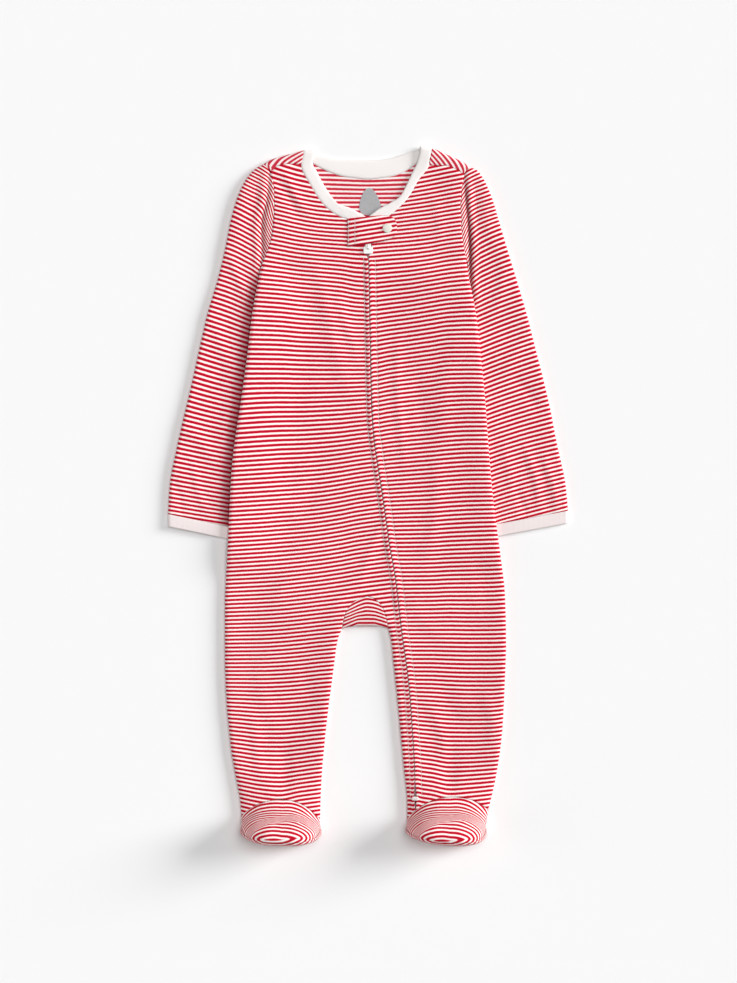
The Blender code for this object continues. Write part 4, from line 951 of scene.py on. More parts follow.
def toe_seam(side, count):
    """Points of the seam round the end of a foot, from one side over the top to the other."""
    foot = FOOT[side]
    ends = np.radians([0, 3.5, 8, 14])[: ROLL_STEPS + 1]
    middle = np.linspace(ends[-1], math.pi - ends[-1], count - 2 * ROLL_STEPS)
    angle = np.r_[ends[:-1], middle, math.pi - ends[:-1][::-1]]
    x = foot["half"] * np.sign(np.cos(angle)) * np.abs(np.cos(angle)) ** FOOT_SQUARE
    rise = np.sin(angle) ** FOOT_SQUARE
    z = TOE_LOW + (TOE_Z - TOE_LOW) * rise
    y = FOOT_SIDE - 4.0 - (0.72 * foot["deep"] - 2.4) * rise**1.4 - foot["tilt"] * x * rise
    return np.stack([foot["x"] + x, y, z], -1)

# %% The grids of a foot
def foot(side, ankle, heel):
    """Grids of the top and the sole of a foot between the seams they share.

    ankle, heel: points of the ankle seam and the heel seam, both from -x to +x.
    """
    toe = toe_seam(side, len(heel))[::-1]
    ankle = ankle.copy()
    ankle[:, :2] += toward(ankle[:, :2], toe[:, :2]) * ANKLE_GAP
    way, rise = INSTEP["way"][:, None, None], INSTEP["rise"][:, None]
    top = ankle + (toe - ankle) * way
    top[..., 2] = ankle[:, 2] + (toe[:, 2] - ankle[:, 2]) * rise
    heel = heel - (0, SEAM, 0)
    share = (toe[:, 2] - TOE_LOW) / (TOE_Z - TOE_LOW)
    out = toward(np.array([[FOOT[side]["x"], FOOT_SIDE + 12.0]]), toe[:, :2])
    outline = toe[:, :2] + out * (TOE_BULGE * np.clip(share, 0, 1) ** 0.6)[:, None]
    below = raised(outline, heel[:, 2] + (toe[:, 2] - heel[:, 2]) * SOLE["height"][-3])
    toe = toe + toward(toe, below) * TOE_GAP
    rows = []
    for height, reach, in_again in zip(SOLE["height"], SOLE["out"], SOLE["back"], strict=True):
        plan = heel[:, :2] + (outline - heel[:, :2]) * reach + (toe[:, :2] - outline) * in_again
        rows.append(raised(plan, heel[:, 2] + (toe[:, 2] - heel[:, 2]) * height))
    return top, np.array(rows)

# %% The seam at the ankle
def ends_and_middle(row, count):
    """A row of points resampled between the rolls at its two ends."""
    roll = ROLL_STEPS
    middle = along(row[roll : len(row) - roll], np.linspace(0, 1, count - 2 * roll))
    return np.concatenate([row[:roll], middle, row[-roll:]])


def ankle_row(side, left, right):
    """The last points of the fronts over one leg, from -x to +x."""
    if side == "right":
        return np.concatenate([right[0][-1, ::-1], right[1][-1, 1:]])
    return np.concatenate([right[3][-1, :0:-1], right[2][-1, ::-1], left[0][-1]])

# %% [markdown]
# ## Finer grids
#
# The solids' grids are coarse. A subdivision surface would pull their edges in and open the seams,
# so each grid is read at more stations by the same smooth curve, along its rows and then across
# them, and the height of a front is worked out again at every new point.

# %% More points on the same curves
STEP = 2.2  # length of a new cell


def counts(block, axis, step):
    """How many new cells each cell of the grid gets along an axis, from its widest place."""
    other = 1 - axis
    lengths = np.linalg.norm(np.diff(block[..., :2], axis=axis), axis=-1).max(axis=other)
    return np.maximum(1, np.ceil(lengths / step).astype(int))


def stations(cells):
    """Positions along the grid's index, with each cell cut into its count of parts."""
    parts = [i + np.arange(n) / n for i, n in enumerate(cells)]
    return np.r_[np.concatenate(parts), len(cells)]


def spacing(block, axis):
    """Positions of the grid's lines along an axis, by their mean distances."""
    length = np.linalg.norm(np.diff(np.moveaxis(block, axis, 0), axis=0), axis=-1)
    return np.r_[0, np.cumsum(length.reshape(len(length), -1).mean(1) + 1e-6)]


def refined(block, axis, cells, column=None):
    """The grid read at the new stations along an axis, on smooth curves through its points."""
    column = spacing(block, axis) if column is None else column
    at = np.interp(stations(cells), np.arange(len(column)), column)
    return np.moveaxis(smooth(column, np.moveaxis(block, axis, 0), at), 0, axis)


def finer(block, step=STEP, rows=None, columns=None, column=None):
    """The grid refined both ways. Grids that share an edge share their counts and positions."""
    rows = counts(block, 0, step) if rows is None else rows
    columns = counts(block, 1, step) if columns is None else columns
    return refined(refined(block, 0, rows, column), 1, columns)

# %% [markdown]
# ## Stripes
#
# The jersey is knitted in stripes of red and white. A picture of stripes would blur up close, and
# stripes counted straight down each piece would look printed. Here short tables give how many
# stripes lie above a point, as the cloth lies pulled this way and that, and the shells carry that
# count to the shader, which draws an edge wherever it passes a half.

# %% Stripe counts over the right front
COUNT_RIGHT = table(
    "y c-121.6 c-100.7 c-83.6 c-64.6 c-45.6 c-26.6 c-9.5 c30.4",
    (347.2, -8.2, -8.9, -9.9, -11.1, -11.9, -12.3, -12.6, -12.6),
    (290.2, 4.6, 3.3, 2.1, 0.95, 0.15, -0.3, -0.6, -0.6),
    (261.7, 11.0, 9.98, 9.03, 7.97, 7.17, 6.79, 6.7, 6.9),
    (233.2, 17.5, 16.7, 15.95, 15.13, 14.62, 14.24, 13.95, 13.8),
    (204.7, 23.7, 23.11, 22.73, 22.18, 21.77, 21.34, 20.67, 20.2),
    (176.2, 30.0, 29.69, 29.44, 28.99, 28.65, 28.25, 27.68, 27.3),
    (147.7, 36.1, 36.02, 35.91, 35.59, 35.39, 35.14, 34.8, 34.9),
    (119.2, 42.23, 42.21, 42.2, 42.08, 42.01, 41.99, 41.99, 42.4),
    (90.7, 48.1, 48.39, 48.48, 48.47, 48.58, 48.75, 49.0, 49.7),
    (62.2, 54.3, 54.63, 54.82, 54.91, 55.15, 55.48, 55.97, 57.0),
    (33.7, 60.68, 60.99, 61.26, 61.48, 61.78, 62.3, 62.93, 64.2),
    (5.2, 67.28, 67.6, 67.87, 68.17, 68.56, 69.22, 69.97, 71.3),
    (-23.3, 74.08, 74.38, 74.71, 75.05, 75.53, 76.25, 77.06, 78.4),
    (-51.8, 81.03, 81.36, 81.69, 82.1, 82.65, 83.37, 84.17, 85.5),
    (-80.3, 88.22, 88.5, 88.8, 89.29, 89.85, 90.52, 91.2, 92.4),
    (-108.8, 95.59, 95.8, 96.08, 96.55, 97.11, 97.66, 98.1, 99.2),
    (-137.3, 103.17, 103.27, 103.53, 103.98, 104.52, 105.0, 105.4, 106.2),
    (-175.3, 113.31, 113.27, 113.41, 113.77, 114.32, 114.7, 115.0, 115.6),
    (-213.3, 123.26, 122.85, 122.9, 123.21, 123.68, 124.0, 124.4, 125.1),
    (-251.3, 132.9, 132.15, 132.03, 132.51, 133.15, 133.5, 133.8, 134.4),
    (-289.3, 142.6, 141.6, 141.2, 142.1, 142.7, 143.2, 143.5, 143.9),
)

# %% The same on the left
COUNT_LEFT = table(
    "y c7.6 c20.4 c39.9 c58.9 c77.9 c96.9 c115.9 c130.1",
    (347.2, -15.7, -15.5, -14.6, -13.6, -12.6, -11.7, -11.0, -10.5),
    (290.2, -1.7, -1.5, -0.69, 0.15, 1.03, 1.86, 2.6, 3.1),
    (261.7, 5.6, 6.1, 6.76, 7.38, 8.24, 8.9, 9.5, 9.9),
    (233.2, 13.4, 13.69, 14.07, 14.66, 15.49, 16.0, 16.4, 16.7),
    (204.7, 20.28, 20.59, 21.06, 21.77, 22.51, 22.95, 23.3, 23.5),
    (176.2, 26.96, 27.38, 27.97, 28.69, 29.36, 29.62, 29.7, 29.8),
    (147.7, 33.74, 34.27, 34.9, 35.55, 36.17, 36.24, 36.1, 36.0),
    (119.2, 40.51, 41.18, 41.82, 42.4, 42.99, 43.06, 42.95, 42.9),
    (90.7, 47.54, 48.14, 48.72, 49.21, 49.76, 49.95, 49.9, 49.8),
    (62.2, 54.5, 55.06, 55.59, 56.04, 56.54, 56.78, 56.8, 56.8),
    (33.7, 61.62, 62.1, 62.53, 62.92, 63.35, 63.62, 63.65, 63.7),
    (5.2, 68.92, 69.2, 69.53, 69.82, 70.2, 70.47, 70.54, 70.6),
    (-23.3, 76.08, 76.48, 76.64, 76.77, 77.12, 77.37, 77.53, 77.6),
    (-51.8, 83.19, 83.68, 83.74, 83.84, 84.11, 84.29, 84.45, 84.6),
    (-80.3, 90.32, 90.86, 90.91, 90.97, 91.19, 91.29, 91.38, 91.6),
    (-108.8, 97.57, 97.88, 98.17, 98.22, 98.34, 98.29, 98.34, 98.5),
    (-137.3, 105.2, 105.4, 105.45, 105.45, 105.41, 105.35, 105.38, 105.5),
    (-175.3, 114.9, 115.1, 115.13, 115.08, 114.85, 114.72, 114.73, 114.9),
    (-213.3, 125.1, 125.05, 124.97, 124.63, 124.2, 124.1, 124.18, 124.6),
    (-251.3, 134.7, 134.6, 134.55, 134.1, 133.4, 133.5, 133.8, 134.1),
    (-289.3, 144.1, 144.0, 143.9, 143.4, 142.5, 142.9, 143.4, 143.9),
)

# %% Stripe counts over the sleeves
COUNT_SLEEVE_RIGHT = table(
    "y c-178.6 c-154.9 c-131.1 c-107.4",
    (318.7, -5.6, -7.0, -8.8, -12.5),
    (280.7, 2.6, 1.3, -0.1, -2.5),
    (257.0, 7.5, 6.2, 4.89, 2.5),
    (233.2, 12.8, 11.45, 10.09, 7.6),
    (185.7, 23.6, 22.06, 20.43, 18.1),
    (138.2, 33.6, 32.06, 30.5, 29.0),
    (90.7, 43.26, 41.87, 40.61, 39.3),
    (43.2, 53.3, 52.17, 51.06, 49.8),
    (-4.3, 64.2, 63.2, 62.2, 61.0),
    (-51.8, 76.4, 75.4, 74.4, 73.2),
)
COUNT_SLEEVE_LEFT = table(
    "y c104.5 c127.3 c152 c174.8",
    (318.7, -11.5, -8.6, -7.2, -6.4),
    (280.7, -1.82, -0.1, 1.1, 1.8),
    (257.0, 4.1, 6.1, 7.4, 8.2),
    (233.2, 9.19, 11.35, 12.9, 13.8),
    (185.7, 19.55, 21.64, 23.4, 24.6),
    (138.2, 30.2, 32.16, 34.11, 35.6),
    (90.7, 41.0, 42.9, 44.7, 46.19),
    (43.2, 52.2, 54.02, 55.74, 57.03),
    (-4.3, 63.4, 65.3, 67.0, 68.5),
    (-51.8, 75.6, 77.5, 79.2, 80.7),
)

# %% Reading a count
def counted(rows, x, y):
    """Stripes above a point: the table made dense by smooth curves, then read between its cells."""
    names = list(rows)[1:]
    across = np.array([float(name[1:]) for name in names])
    lattice = np.stack([rows[name] for name in names], 1)
    dense_y = np.linspace(rows["y"][0], rows["y"][-1], 240)
    dense_x = np.linspace(across[0], across[-1], 60)
    lattice = smooth(rows["y"], lattice, dense_y)
    lattice = smooth(across, lattice.T, dense_x).T
    v = (y - dense_y[0]) / (dense_y[1] - dense_y[0])
    u = (x - dense_x[0]) / (dense_x[1] - dense_x[0])
    i = np.clip(np.floor(v).astype(int), 0, len(dense_y) - 2)
    j = np.clip(np.floor(u).astype(int), 0, len(dense_x) - 2)
    v, u = v - i, u - j
    top = lattice[i, j] * (1 - u) + lattice[i, j + 1] * u
    low = lattice[i + 1, j] * (1 - u) + lattice[i + 1, j + 1] * u
    return top * (1 - v) + low * v


ends = counted(COUNT_RIGHT, np.full(2, -60.0), np.array([260.0, -280.0]))
print(f"{ends[1] - ends[0]:.0f} pairs of stripes from the right chest to the ankle")

# %% [markdown]
# ## Shells
#
# A shell is the outer face of a sewn piece with a thin wall behind it. Points carry three numbers
# for the shader: the stripes counted above them, the distance across the knit in millimetres, and
# a shade, painted where other cloth keeps the light off. Ambient light alone would leave such
# narrow places too pale.

# %% Which way a grid faces
WALL, RIB_WALL = 1.0, 1.3  # thickness of the jersey and of the rib
# points inside a shell: far under it, far over it, and behind a shoulder's flap
BELOW, ABOVE, FLAP = (None, None, -200), (None, None, 200), (None, 290, 3)


def area_ways(grid):
    """The middles of a grid's faces and their normals, as long as twice their areas."""
    corner = grid[:-1, :-1, :3], grid[1:, 1:, :3], grid[:-1, 1:, :3], grid[1:, :-1, :3]
    return sum(corner) / 4, np.cross(corner[1] - corner[0], corner[3] - corner[2])


def turned(grid, inside):
    """The grid with its columns in the order that turns its faces away from a point inside.

    inside: (x, y, z), where None stands for the middle of the grid itself.
    """
    middle, normal = area_ways(grid)
    centre = grid[..., :3].reshape(-1, 3).mean(0)
    point = np.array([c if i is None else i for c, i in zip(centre, inside)], float)
    return grid[:, ::-1] if ((middle - point) * normal).sum() < 0 else grid

# %% From grids to a mesh
def placed(name, points, faces):
    """A smooth mesh from points in millimetres, as an object at the origin."""
    mesh = bpy.data.meshes.new(name)
    mesh.from_pydata((points * MM).tolist(), [], faces.tolist())
    mesh.polygons.foreach_set("use_smooth", np.ones(len(faces), bool))
    made = bpy.data.objects.new(name, mesh)
    bpy.context.scene.collection.objects.link(made)
    return made


def shell(name, grids, inside, wall=WALL, weld=0.03):
    """One mesh from grids of (x, y, z, stripe, knit, shade) in millimetres, with a wall behind it.

    shade, how dark the cloth is where other cloth keeps the light off it, may be left out.
    inside: a point that the faces of every grid look away from, or one such point for each grid.
    """
    points, faces, base, area = [], [], 0, 0.0
    for i, grid in enumerate(grids):
        grid = turned(grid, inside[i] if isinstance(inside, list) else inside)
        area += np.linalg.norm(area_ways(grid)[1], axis=-1).sum() / 2 * MM**2
        rows, columns = grid.shape[:2]
        index = base + np.arange(rows * columns).reshape(rows, columns)
        corners = index[:-1, :-1], index[:-1, 1:], index[1:, 1:], index[1:, :-1]
        faces.append(np.stack(corners, -1).reshape(-1, 4))
        extra = np.zeros((rows, columns, 6 - grid.shape[2]))
        points.append(np.concatenate([grid, extra], -1).reshape(-1, 6))
        base += rows * columns
    points, faces = np.concatenate(points), np.concatenate(faces)
    made = placed(name, points[:, :3], faces)
    for label, column in (("stripe", 3), ("knit", 4), ("shade", 5)):
        values = made.data.attributes.new(label, "FLOAT", "POINT")
        values.data.foreach_set("value", points[:, column].astype(np.float32))
    sew = made.modifiers.new("weld", "WELD")
    sew.merge_threshold = weld * MM
    if wall:
        thick = made.modifiers.new("wall", "SOLIDIFY")
        thick.thickness = wall * MM
        thick.offset = -1
    print(f"{name}: {len(faces)} faces, {area * 1e4:.0f} cm2 of cloth")
    made["area"] = area
    return made

# %% A sewn piece
def sewn(piece, node, look):
    """Gives a shell its material, hangs it on the garment's body and hides the solid it stands for.
    """
    piece.data.materials.append(look)
    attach(piece, "garment")
    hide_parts(node)
    return piece

# %% [markdown]
# ## Finishes
#
# The jersey is cotton knitted in fine wales. Its look could be one flat colour with stripes, but
# thread by thread it shows soft stripe edges that step from stitch to stitch, a shallow ribbing,
# and a pale nap at grazing angles. All of it is worked out in the shader from the three numbers
# that each point carries, so there is no picture behind it.

# %% The colours of the jersey
RED = (0.50, 0.002, 0.022, 1)
RED_EDGE = (0.86, 0.022, 0.055, 1)  # the paler loops beside the white
WHITE = (0.99, 0.96, 0.93, 1)
WALE = 0.95  # width of a column of stitches
COURSES = 5  # rows of stitches in a pair of stripes

# %% A short way to make nodes
class Graph:
    """A short way to write a node material: each call makes a node and returns its output."""

    def __init__(self, name, rough):
        self.material = bpy.data.materials.new(name)
        self.material.use_nodes = True
        self.tree = self.material.node_tree
        self.shader = self.tree.nodes["Principled BSDF"]
        self.shader.inputs["Roughness"].default_value = rough

    def put(self, value, socket):
        if isinstance(value, bpy.types.NodeSocket):
            self.tree.links.new(value, socket)
        else:
            socket.default_value = value

    def math(self, operation, a, b=0.0, c=0.0):
        node = self.tree.nodes.new("ShaderNodeMath")
        node.operation = operation
        for value, socket in zip((a, b, c), node.inputs):
            self.put(value, socket)
        return node.outputs[0]

    def attribute(self, name):
        node = self.tree.nodes.new("ShaderNodeAttribute")
        node.attribute_name = name
        return node.outputs["Fac"]

    def noise(self, scale, detail=2.0):
        node = self.tree.nodes.new("ShaderNodeTexNoise")
        place = self.tree.nodes.new("ShaderNodeTexCoord")
        self.tree.links.new(place.outputs["Object"], node.inputs["Vector"])
        node.inputs["Scale"].default_value = scale
        node.inputs["Detail"].default_value = detail
        return node.outputs["Fac"]

    def ramp(self, value, low, high, start=0.0, end=1.0):
        node = self.tree.nodes.new("ShaderNodeMapRange")
        node.interpolation_type = "SMOOTHSTEP"
        for item, socket in zip((value, low, high, start, end), node.inputs):
            self.put(item, socket)
        return node.outputs[0]

    def mix(self, share, a, b):
        node = self.tree.nodes.new("ShaderNodeMix")
        node.data_type = "RGBA"
        self.put(share, node.inputs["Factor"])
        self.put(a, node.inputs["A"])
        self.put(b, node.inputs["B"])
        return node.outputs["Result"]

    def bump(self, height, depth_mm, strength=1.0):
        node = self.tree.nodes.new("ShaderNodeBump")
        node.inputs["Strength"].default_value = strength
        node.inputs["Distance"].default_value = depth_mm * MM
        self.put(height, node.inputs["Height"])
        self.tree.links.new(node.outputs["Normal"], self.shader.inputs["Normal"])

    def sheen(self, weight, rough=0.45):
        self.shader.inputs["Sheen Weight"].default_value = weight
        self.shader.inputs["Sheen Roughness"].default_value = rough

# %% The striped jersey
def jersey(name, red=RED, white=WHITE, share=0.6):
    """Striped knit: red where the stripe count is near a whole number, stepped by the stitches.

    The shade attribute mixes it towards a deep red: painted shade.
    """
    g = Graph(name, 0.88)
    knit, stripe = g.attribute("knit"), g.attribute("stripe")
    wale = g.math("MULTIPLY", knit, 2 * math.pi / WALE)
    course = g.math("MULTIPLY", stripe, 2 * math.pi * COURSES)
    loop = g.math("MULTIPLY", g.math("COSINE", wale), 0.5)
    wander = g.math("MULTIPLY", g.math("SUBTRACT", g.noise(260.0), 0.5), 0.10)
    stepped = g.math("ADD", g.math("ADD", stripe, wander), g.math("MULTIPLY", loop, 0.05))
    wave = g.math("COSINE", g.math("MULTIPLY", stepped, 2 * math.pi))
    edge = math.cos(math.pi * share)
    red_share = g.ramp(wave, edge - 0.2, edge + 0.2)
    cloud = g.ramp(g.noise(38.0, 4.0), 0.3, 0.7, 0.965, 1.0)
    reds = g.mix(g.ramp(wave, edge, 0.95), RED_EDGE, red)
    # deep: the colour of painted shade, a darker copy of the red that the shade attribute mixes in
    deep = tuple(part * value for part, value in zip((0.36, 0.5, 0.5), red)) + (1,)
    tint = g.mix(g.attribute("shade"), g.mix(red_share, white, reds), deep)
    dark = g.tree.nodes.new("ShaderNodeVectorMath")
    dark.operation = "SCALE"
    g.put(tint, dark.inputs[0])
    g.put(cloud, dark.inputs["Scale"])
    g.put(dark.outputs[0], g.shader.inputs["Base Color"])
    rib = g.math("MULTIPLY", g.math("COSINE", course), 0.35)
    fuzz = g.math("MULTIPLY", g.noise(1400.0, 3.0), 0.5)
    g.bump(g.math("ADD", g.math("ADD", loop, rib), fuzz), 0.10, 0.5)
    g.sheen(0.06)
    g.shader.inputs["Specular IOR Level"].default_value = 0.12
    return g.material

# %% [markdown]
# ## Rib and plain finishes
#
# The neck binding and the cuffs are white rib knit. Each rib is about a millimetre wide, too fine
# to be worth cutting into the mesh, so a wave in the shader raises them and darkens the valleys
# between them with painted shade. The zip, the thread, the enamel, the snap and the patch are plain,
# with a faint cloudiness.

# %% The rib
def ribbed(name, pitch, depth, tint, low):
    """White rib knit: rounded ribs along the knit coordinate, with painted shade in the valleys."""
    g = Graph(name, 0.85)
    wave = g.math("COSINE", g.math("MULTIPLY", g.attribute("knit"), 2 * math.pi / pitch))
    soft = g.ramp(wave, -1.0, 0.6)
    # the valleys between the ribs are darkened by low: painted shade
    painted_valley_shade = tuple(low * value for value in tint[:3]) + (1,)
    g.put(g.mix(soft, painted_valley_shade, tint), g.shader.inputs["Base Color"])
    fuzz = g.math("MULTIPLY", g.noise(1100.0, 3.0), 0.4)
    g.bump(g.math("ADD", soft, fuzz), depth, 0.7)
    g.sheen(0.1)
    g.shader.inputs["Specular IOR Level"].default_value = 0.15
    return g.material

# %% The plain finishes, and the floor
def plain(name, tint, rough, grain, depth):
    """One colour, a little darker in soft clouds of this grain, with a bump of this depth."""
    g = Graph(name, rough)
    cloud = g.ramp(g.noise(grain, 3.0), 0.3, 0.7)
    darker = tuple(0.93 * value for value in tint[:3]) + (1,)
    g.put(g.mix(cloud, darker, tint), g.shader.inputs["Base Color"])
    g.bump(cloud, depth, 0.5)
    return g.material


def floor_look():
    """A plain pale matt floor, the same all over."""
    g = Graph("pale_floor", 1.0)
    g.shader.inputs["Base Color"].default_value = (0.93, 0.93, 0.93, 1)
    g.shader.inputs["Specular IOR Level"].default_value = 0.0
    return g.material

# %% The finishes by name
looks = {
    "jersey": jersey("striped_jersey"),
    "inside": jersey("striped_jersey_inside", (0.56, 0.03, 0.06, 1), (0.95, 0.89, 0.87, 1), 0.57),
    "rib": ribbed("white_rib", 0.9, 0.05, (0.93, 0.885, 0.865, 1), 0.97),
    "cuff": ribbed("cuff_rib", 1.2, 0.08, (0.90, 0.81, 0.80, 1), 0.95),
    # the tape's dark red-brown and the coil's grey-pink are chosen dark as painted shade, so that
    # the narrow slit in which they lie looks shaded
    "tape": plain("zip_tape", (0.42, 0.17, 0.19, 1), 0.8, 900.0, 0.05),
    "coil": plain("zip_coil", (0.66, 0.58, 0.58, 1), 0.45, 700.0, 0.01),
    "thread": plain("sewing_thread", (0.86, 0.78, 0.77, 1), 0.7, 900.0, 0.02),
    "enamel": plain("white_enamel", (0.96, 0.96, 0.94, 1), 0.5, 120.0, 0.002),
    "snap": plain("ivory_snap", (0.80, 0.775, 0.70, 1), 0.45, 120.0, 0.002),
    "patch": plain("grey_patch", (0.42, 0.42, 0.43, 1), 0.8, 400.0, 0.02),
    "floor": floor_look(),
}
print("finishes:", ", ".join(looks))

# %% [markdown]
# ## The fronts
#
# Two panels meet at the zip. The right one runs on beyond it, under the gusset and down the inside
# of the other leg. One grid could not turn that corner without crowding its rows, so it is four
# grids that share their edges, and a weld joins them.

# %% The points of a front
def front_points(block, rows, column, stripes=COUNT_RIGHT, columns=None):
    """A refined front grid with its height, its stripe count, knit coordinate and painted shade."""
    fine = finer(block, rows=rows, column=column, columns=columns)
    x, y, drop = fine[..., 0], fine[..., 1], fine[..., 2]
    z = front_z(x, y) - drop
    off = x - read(ZIP, "y", "x", y)
    below = 1 - ease(y, *UNDER_GUARD)
    # painted shade: left of the zip's slit, along both rows of stitches, and a little over the lower
    # body and the legs
    shade = 0.27 * bell(off, -2.4, 1.9) + 0.2 * bell(off, -4.7, 0.7)
    shade = below * (shade + 0.14 * bell(off, 6.5, 0.7)) + 0.05 * ease(-y, 60, 150)
    pulled = 0.12 * bell(off, 3.0, 2.2) - 0.16 * bell(off, -2.4, 1.6)
    return np.stack([x, y, z, counted(stripes, x, y) + below * pulled, x, shade], -1)


GROOVE = 0.35  # depth of a seam's groove


def grooved(grid, row):
    """The grid with its first or last row pressed down at a seam, and a third of it the next."""
    grid[row, :, 2] -= GROOVE
    grid[1 if row == 0 else row - 1, :, 2] -= GROOVE * 0.35
    return grid

# %% The left front
left_front, right_front = fronts()
rows = counts(left_front[0], 0, STEP)
column = spacing(left_front[0], 0)
columns = counts(left_front[0], 1, STEP)
columns[0] = 15
left_grids = [grooved(front_points(left_front[0], rows, column, COUNT_LEFT, columns), row=0)]
front_l = shell("jersey_front_left", left_grids, BELOW)
sewn(front_l, "front_left", looks["jersey"])

# %% The right front
rows = counts(right_front[0], 0, STEP)
column = spacing(right_front[0], 0)
legs = len(right_front[1])
low_rows, low_column = rows[-(legs - 1) :], column[-legs:]
panel = front_points(right_front[0], rows, column)
fold = front_points(right_front[1], low_rows, low_column)
strip = front_points(right_front[2], rows, column, columns=counts(right_front[2], 1, 1.1))
inner_fold = front_points(right_front[3], low_rows, low_column)
apex = len(panel) - len(fold)
fold[:, 0] = panel[apex:, 0]
strip[: apex + 1, -1] = panel[: apex + 1, 0]
inner_fold[:, 0] = strip[apex:, -1]
right_grids = [panel, fold, strip, inner_fold]
for grid in (panel, strip):
    grooved(grid, row=0)

front_r = shell("jersey_front_right", right_grids, BELOW)
sewn(front_r, "front_right", looks["jersey"])

# %% [markdown]
# ## The back
#
# The back lies on the floor, rises over the sleeves at its edges and comes over each shoulder to
# the front. Its stripes run level, so on a shoulder flap, which is the same cloth turned over a
# slanting fold, they cross at twice the slant of the fold.

# %% What the back starts from
BACK_PITCH = 4.35  # width of a pair of stripes


def solid_front(block):
    """A coarse front grid with its heights, for the pieces that start from its edges."""
    z = front_z(block[..., 0], block[..., 1]) - block[..., 2]
    return raised(block[..., :2], z)


left_coarse = [solid_front(block) for block in left_front]
right_coarse = [solid_front(block) for block in right_front]
seams = {"left": left_coarse[0][0, -6:, :2], "right": right_coarse[0][0, -6:, :2]}
necks = {
    "left": left_coarse[0][0, :-5],
    "right": np.concatenate([right_coarse[2][0], right_coarse[0][0, 1:-5]]),
}
back_blocks, heels = back(seams)
print("grids of the back:", [block.shape[:2] for block in back_blocks])
back_necks = {"right": back_blocks[0][0, :6], "left": back_blocks[3][0, :6]}

# %% Lengths along a grid
def run_length(grid, axis):
    """Distance along the grid's lines from their first points, in millimetres."""
    lengths = np.linalg.norm(np.diff(grid, axis=axis), axis=-1)
    lengths = np.concatenate([np.zeros_like(np.take(lengths, [0], axis)), lengths], axis)
    return np.cumsum(lengths, axis)

# %% Both halves, refined, with their stripes
back_grids = []
rows = np.maximum(counts(back_blocks[0], 0, 3.0), counts(back_blocks[3], 0, 3.0))
column = spacing(back_blocks[0], 0)
middle = refined(back_blocks[0][:, :1], 0, rows, column)
for side, block, fold, flap in (("right", *back_blocks[:3]), ("left", *back_blocks[3:])):
    columns = counts(block, 1, 3.0)
    fine = finer(block, rows=rows, columns=columns, column=column)
    shared = len(fine) if side == "left" else 0
    shared = min(shared, int(rows[: len(rows) - (len(fold) - 1)].sum()) + 1)
    fine[:shared, 0] = middle[:shared, 0]
    x, y = fine[..., 0], fine[..., 1]
    sag = 1.6 * np.exp(-((x / 30) ** 2) - ((y - 300) / 14) ** 2)
    tucks = 0.45 * creases(x, -y + 20, FRONT_CREASES) * (fine[..., 2] < 0.5)
    fine[..., 2] += np.maximum(tucks, 0)
    stripe = (-(y + sag) / BACK_PITCH)[..., None]
    back_grids.append(np.concatenate([fine, stripe, x[..., None]], -1))
    low = finer(fold, rows=rows[-(len(fold) - 1) :], column=column[-len(fold) :])
    low[:, 0, :3] = fine[len(fine) - len(low) :, 0, :3]
    back_grids.append(np.concatenate([low, -low[..., 1:2] / BACK_PITCH, low[..., :1]], -1))
    over = finer(flap, step=1.6, columns=columns[-(flap.shape[1] - 1) :])
    # opened out flat, a point of the flap lies as far beyond the fold as it lies past it
    _, way = shoulder_lines(side, seams[side])
    way = refined(way[None], 1, columns[-(len(way) - 1) :])[0]
    past = run_length(over, 0)
    open_y = over[:1, :, 1] + way[None, :, 1] * past
    open_x = over[:1, :, 0] + way[None, :, 0] * past
    over = grooved(over, row=len(over) - 1)
    stripe = -open_y[..., None] / BACK_PITCH
    back_grids.append(np.concatenate([over, stripe, open_x[..., None]], -1))

# %% The shell of the back
back_shell = shell("jersey_back", back_grids, 2 * [ABOVE, ABOVE, FLAP], weld=0.05)
sewn(back_shell, "back", looks["inside"])

# %% [markdown]
# ## The gusset
#
# A diamond of the same jersey closes the crotch and gives the legs room. Level stripes would look
# printed on it, so they are bowed as the pull of the legs bows them.

# %% The gusset
GUSSET_PITCH, GUSSET_START = 3.75, -120.9  # a pair of stripes, and where one of them begins

diamond = finer(gusset(), step=1.8)
off = diamond[..., 0] + 1.1
low = ease(-diamond[..., 1], 104, 122)
high_sag = np.where(off < 0, 8.4 * (np.abs(off) / 18.8) ** 1.5, 5.5 * (off / 17.7) ** 2)
low_sag = np.where(off < 0, 0.44 * np.maximum(-off - 9, 0), 0.29 * np.maximum(off - 8, 0))
sag = high_sag + (low_sag - high_sag) * low
stripe = (GUSSET_START - diamond[..., 1] - sag) / GUSSET_PITCH
# painted shade over the gusset, deeper towards the crotch fold
shade = 0.07 + 0.1 * low
diamond = np.stack([*np.moveaxis(diamond, -1, 0), stripe, diamond[..., 0], shade], -1)
diamond_shell = shell("jersey_gusset", [diamond], (-4, -112, 3))
sewn(diamond_shell, "gusset", looks["jersey"])

# %% [markdown]
# ## The neck binding
#
# The neck is bound with a folded strip of rib. A tube swept along the neckline would be rounder
# than the flat strip is, so a grid is carried between its sewn edge and its free one and raised
# into a soft roll, with fine ribs square to its edge.

# %% The binding
ROLL, TUCK = 0.35, -0.09  # height of the roll, and the share of the width that goes under the seam
ACROSS = 10  # points across it

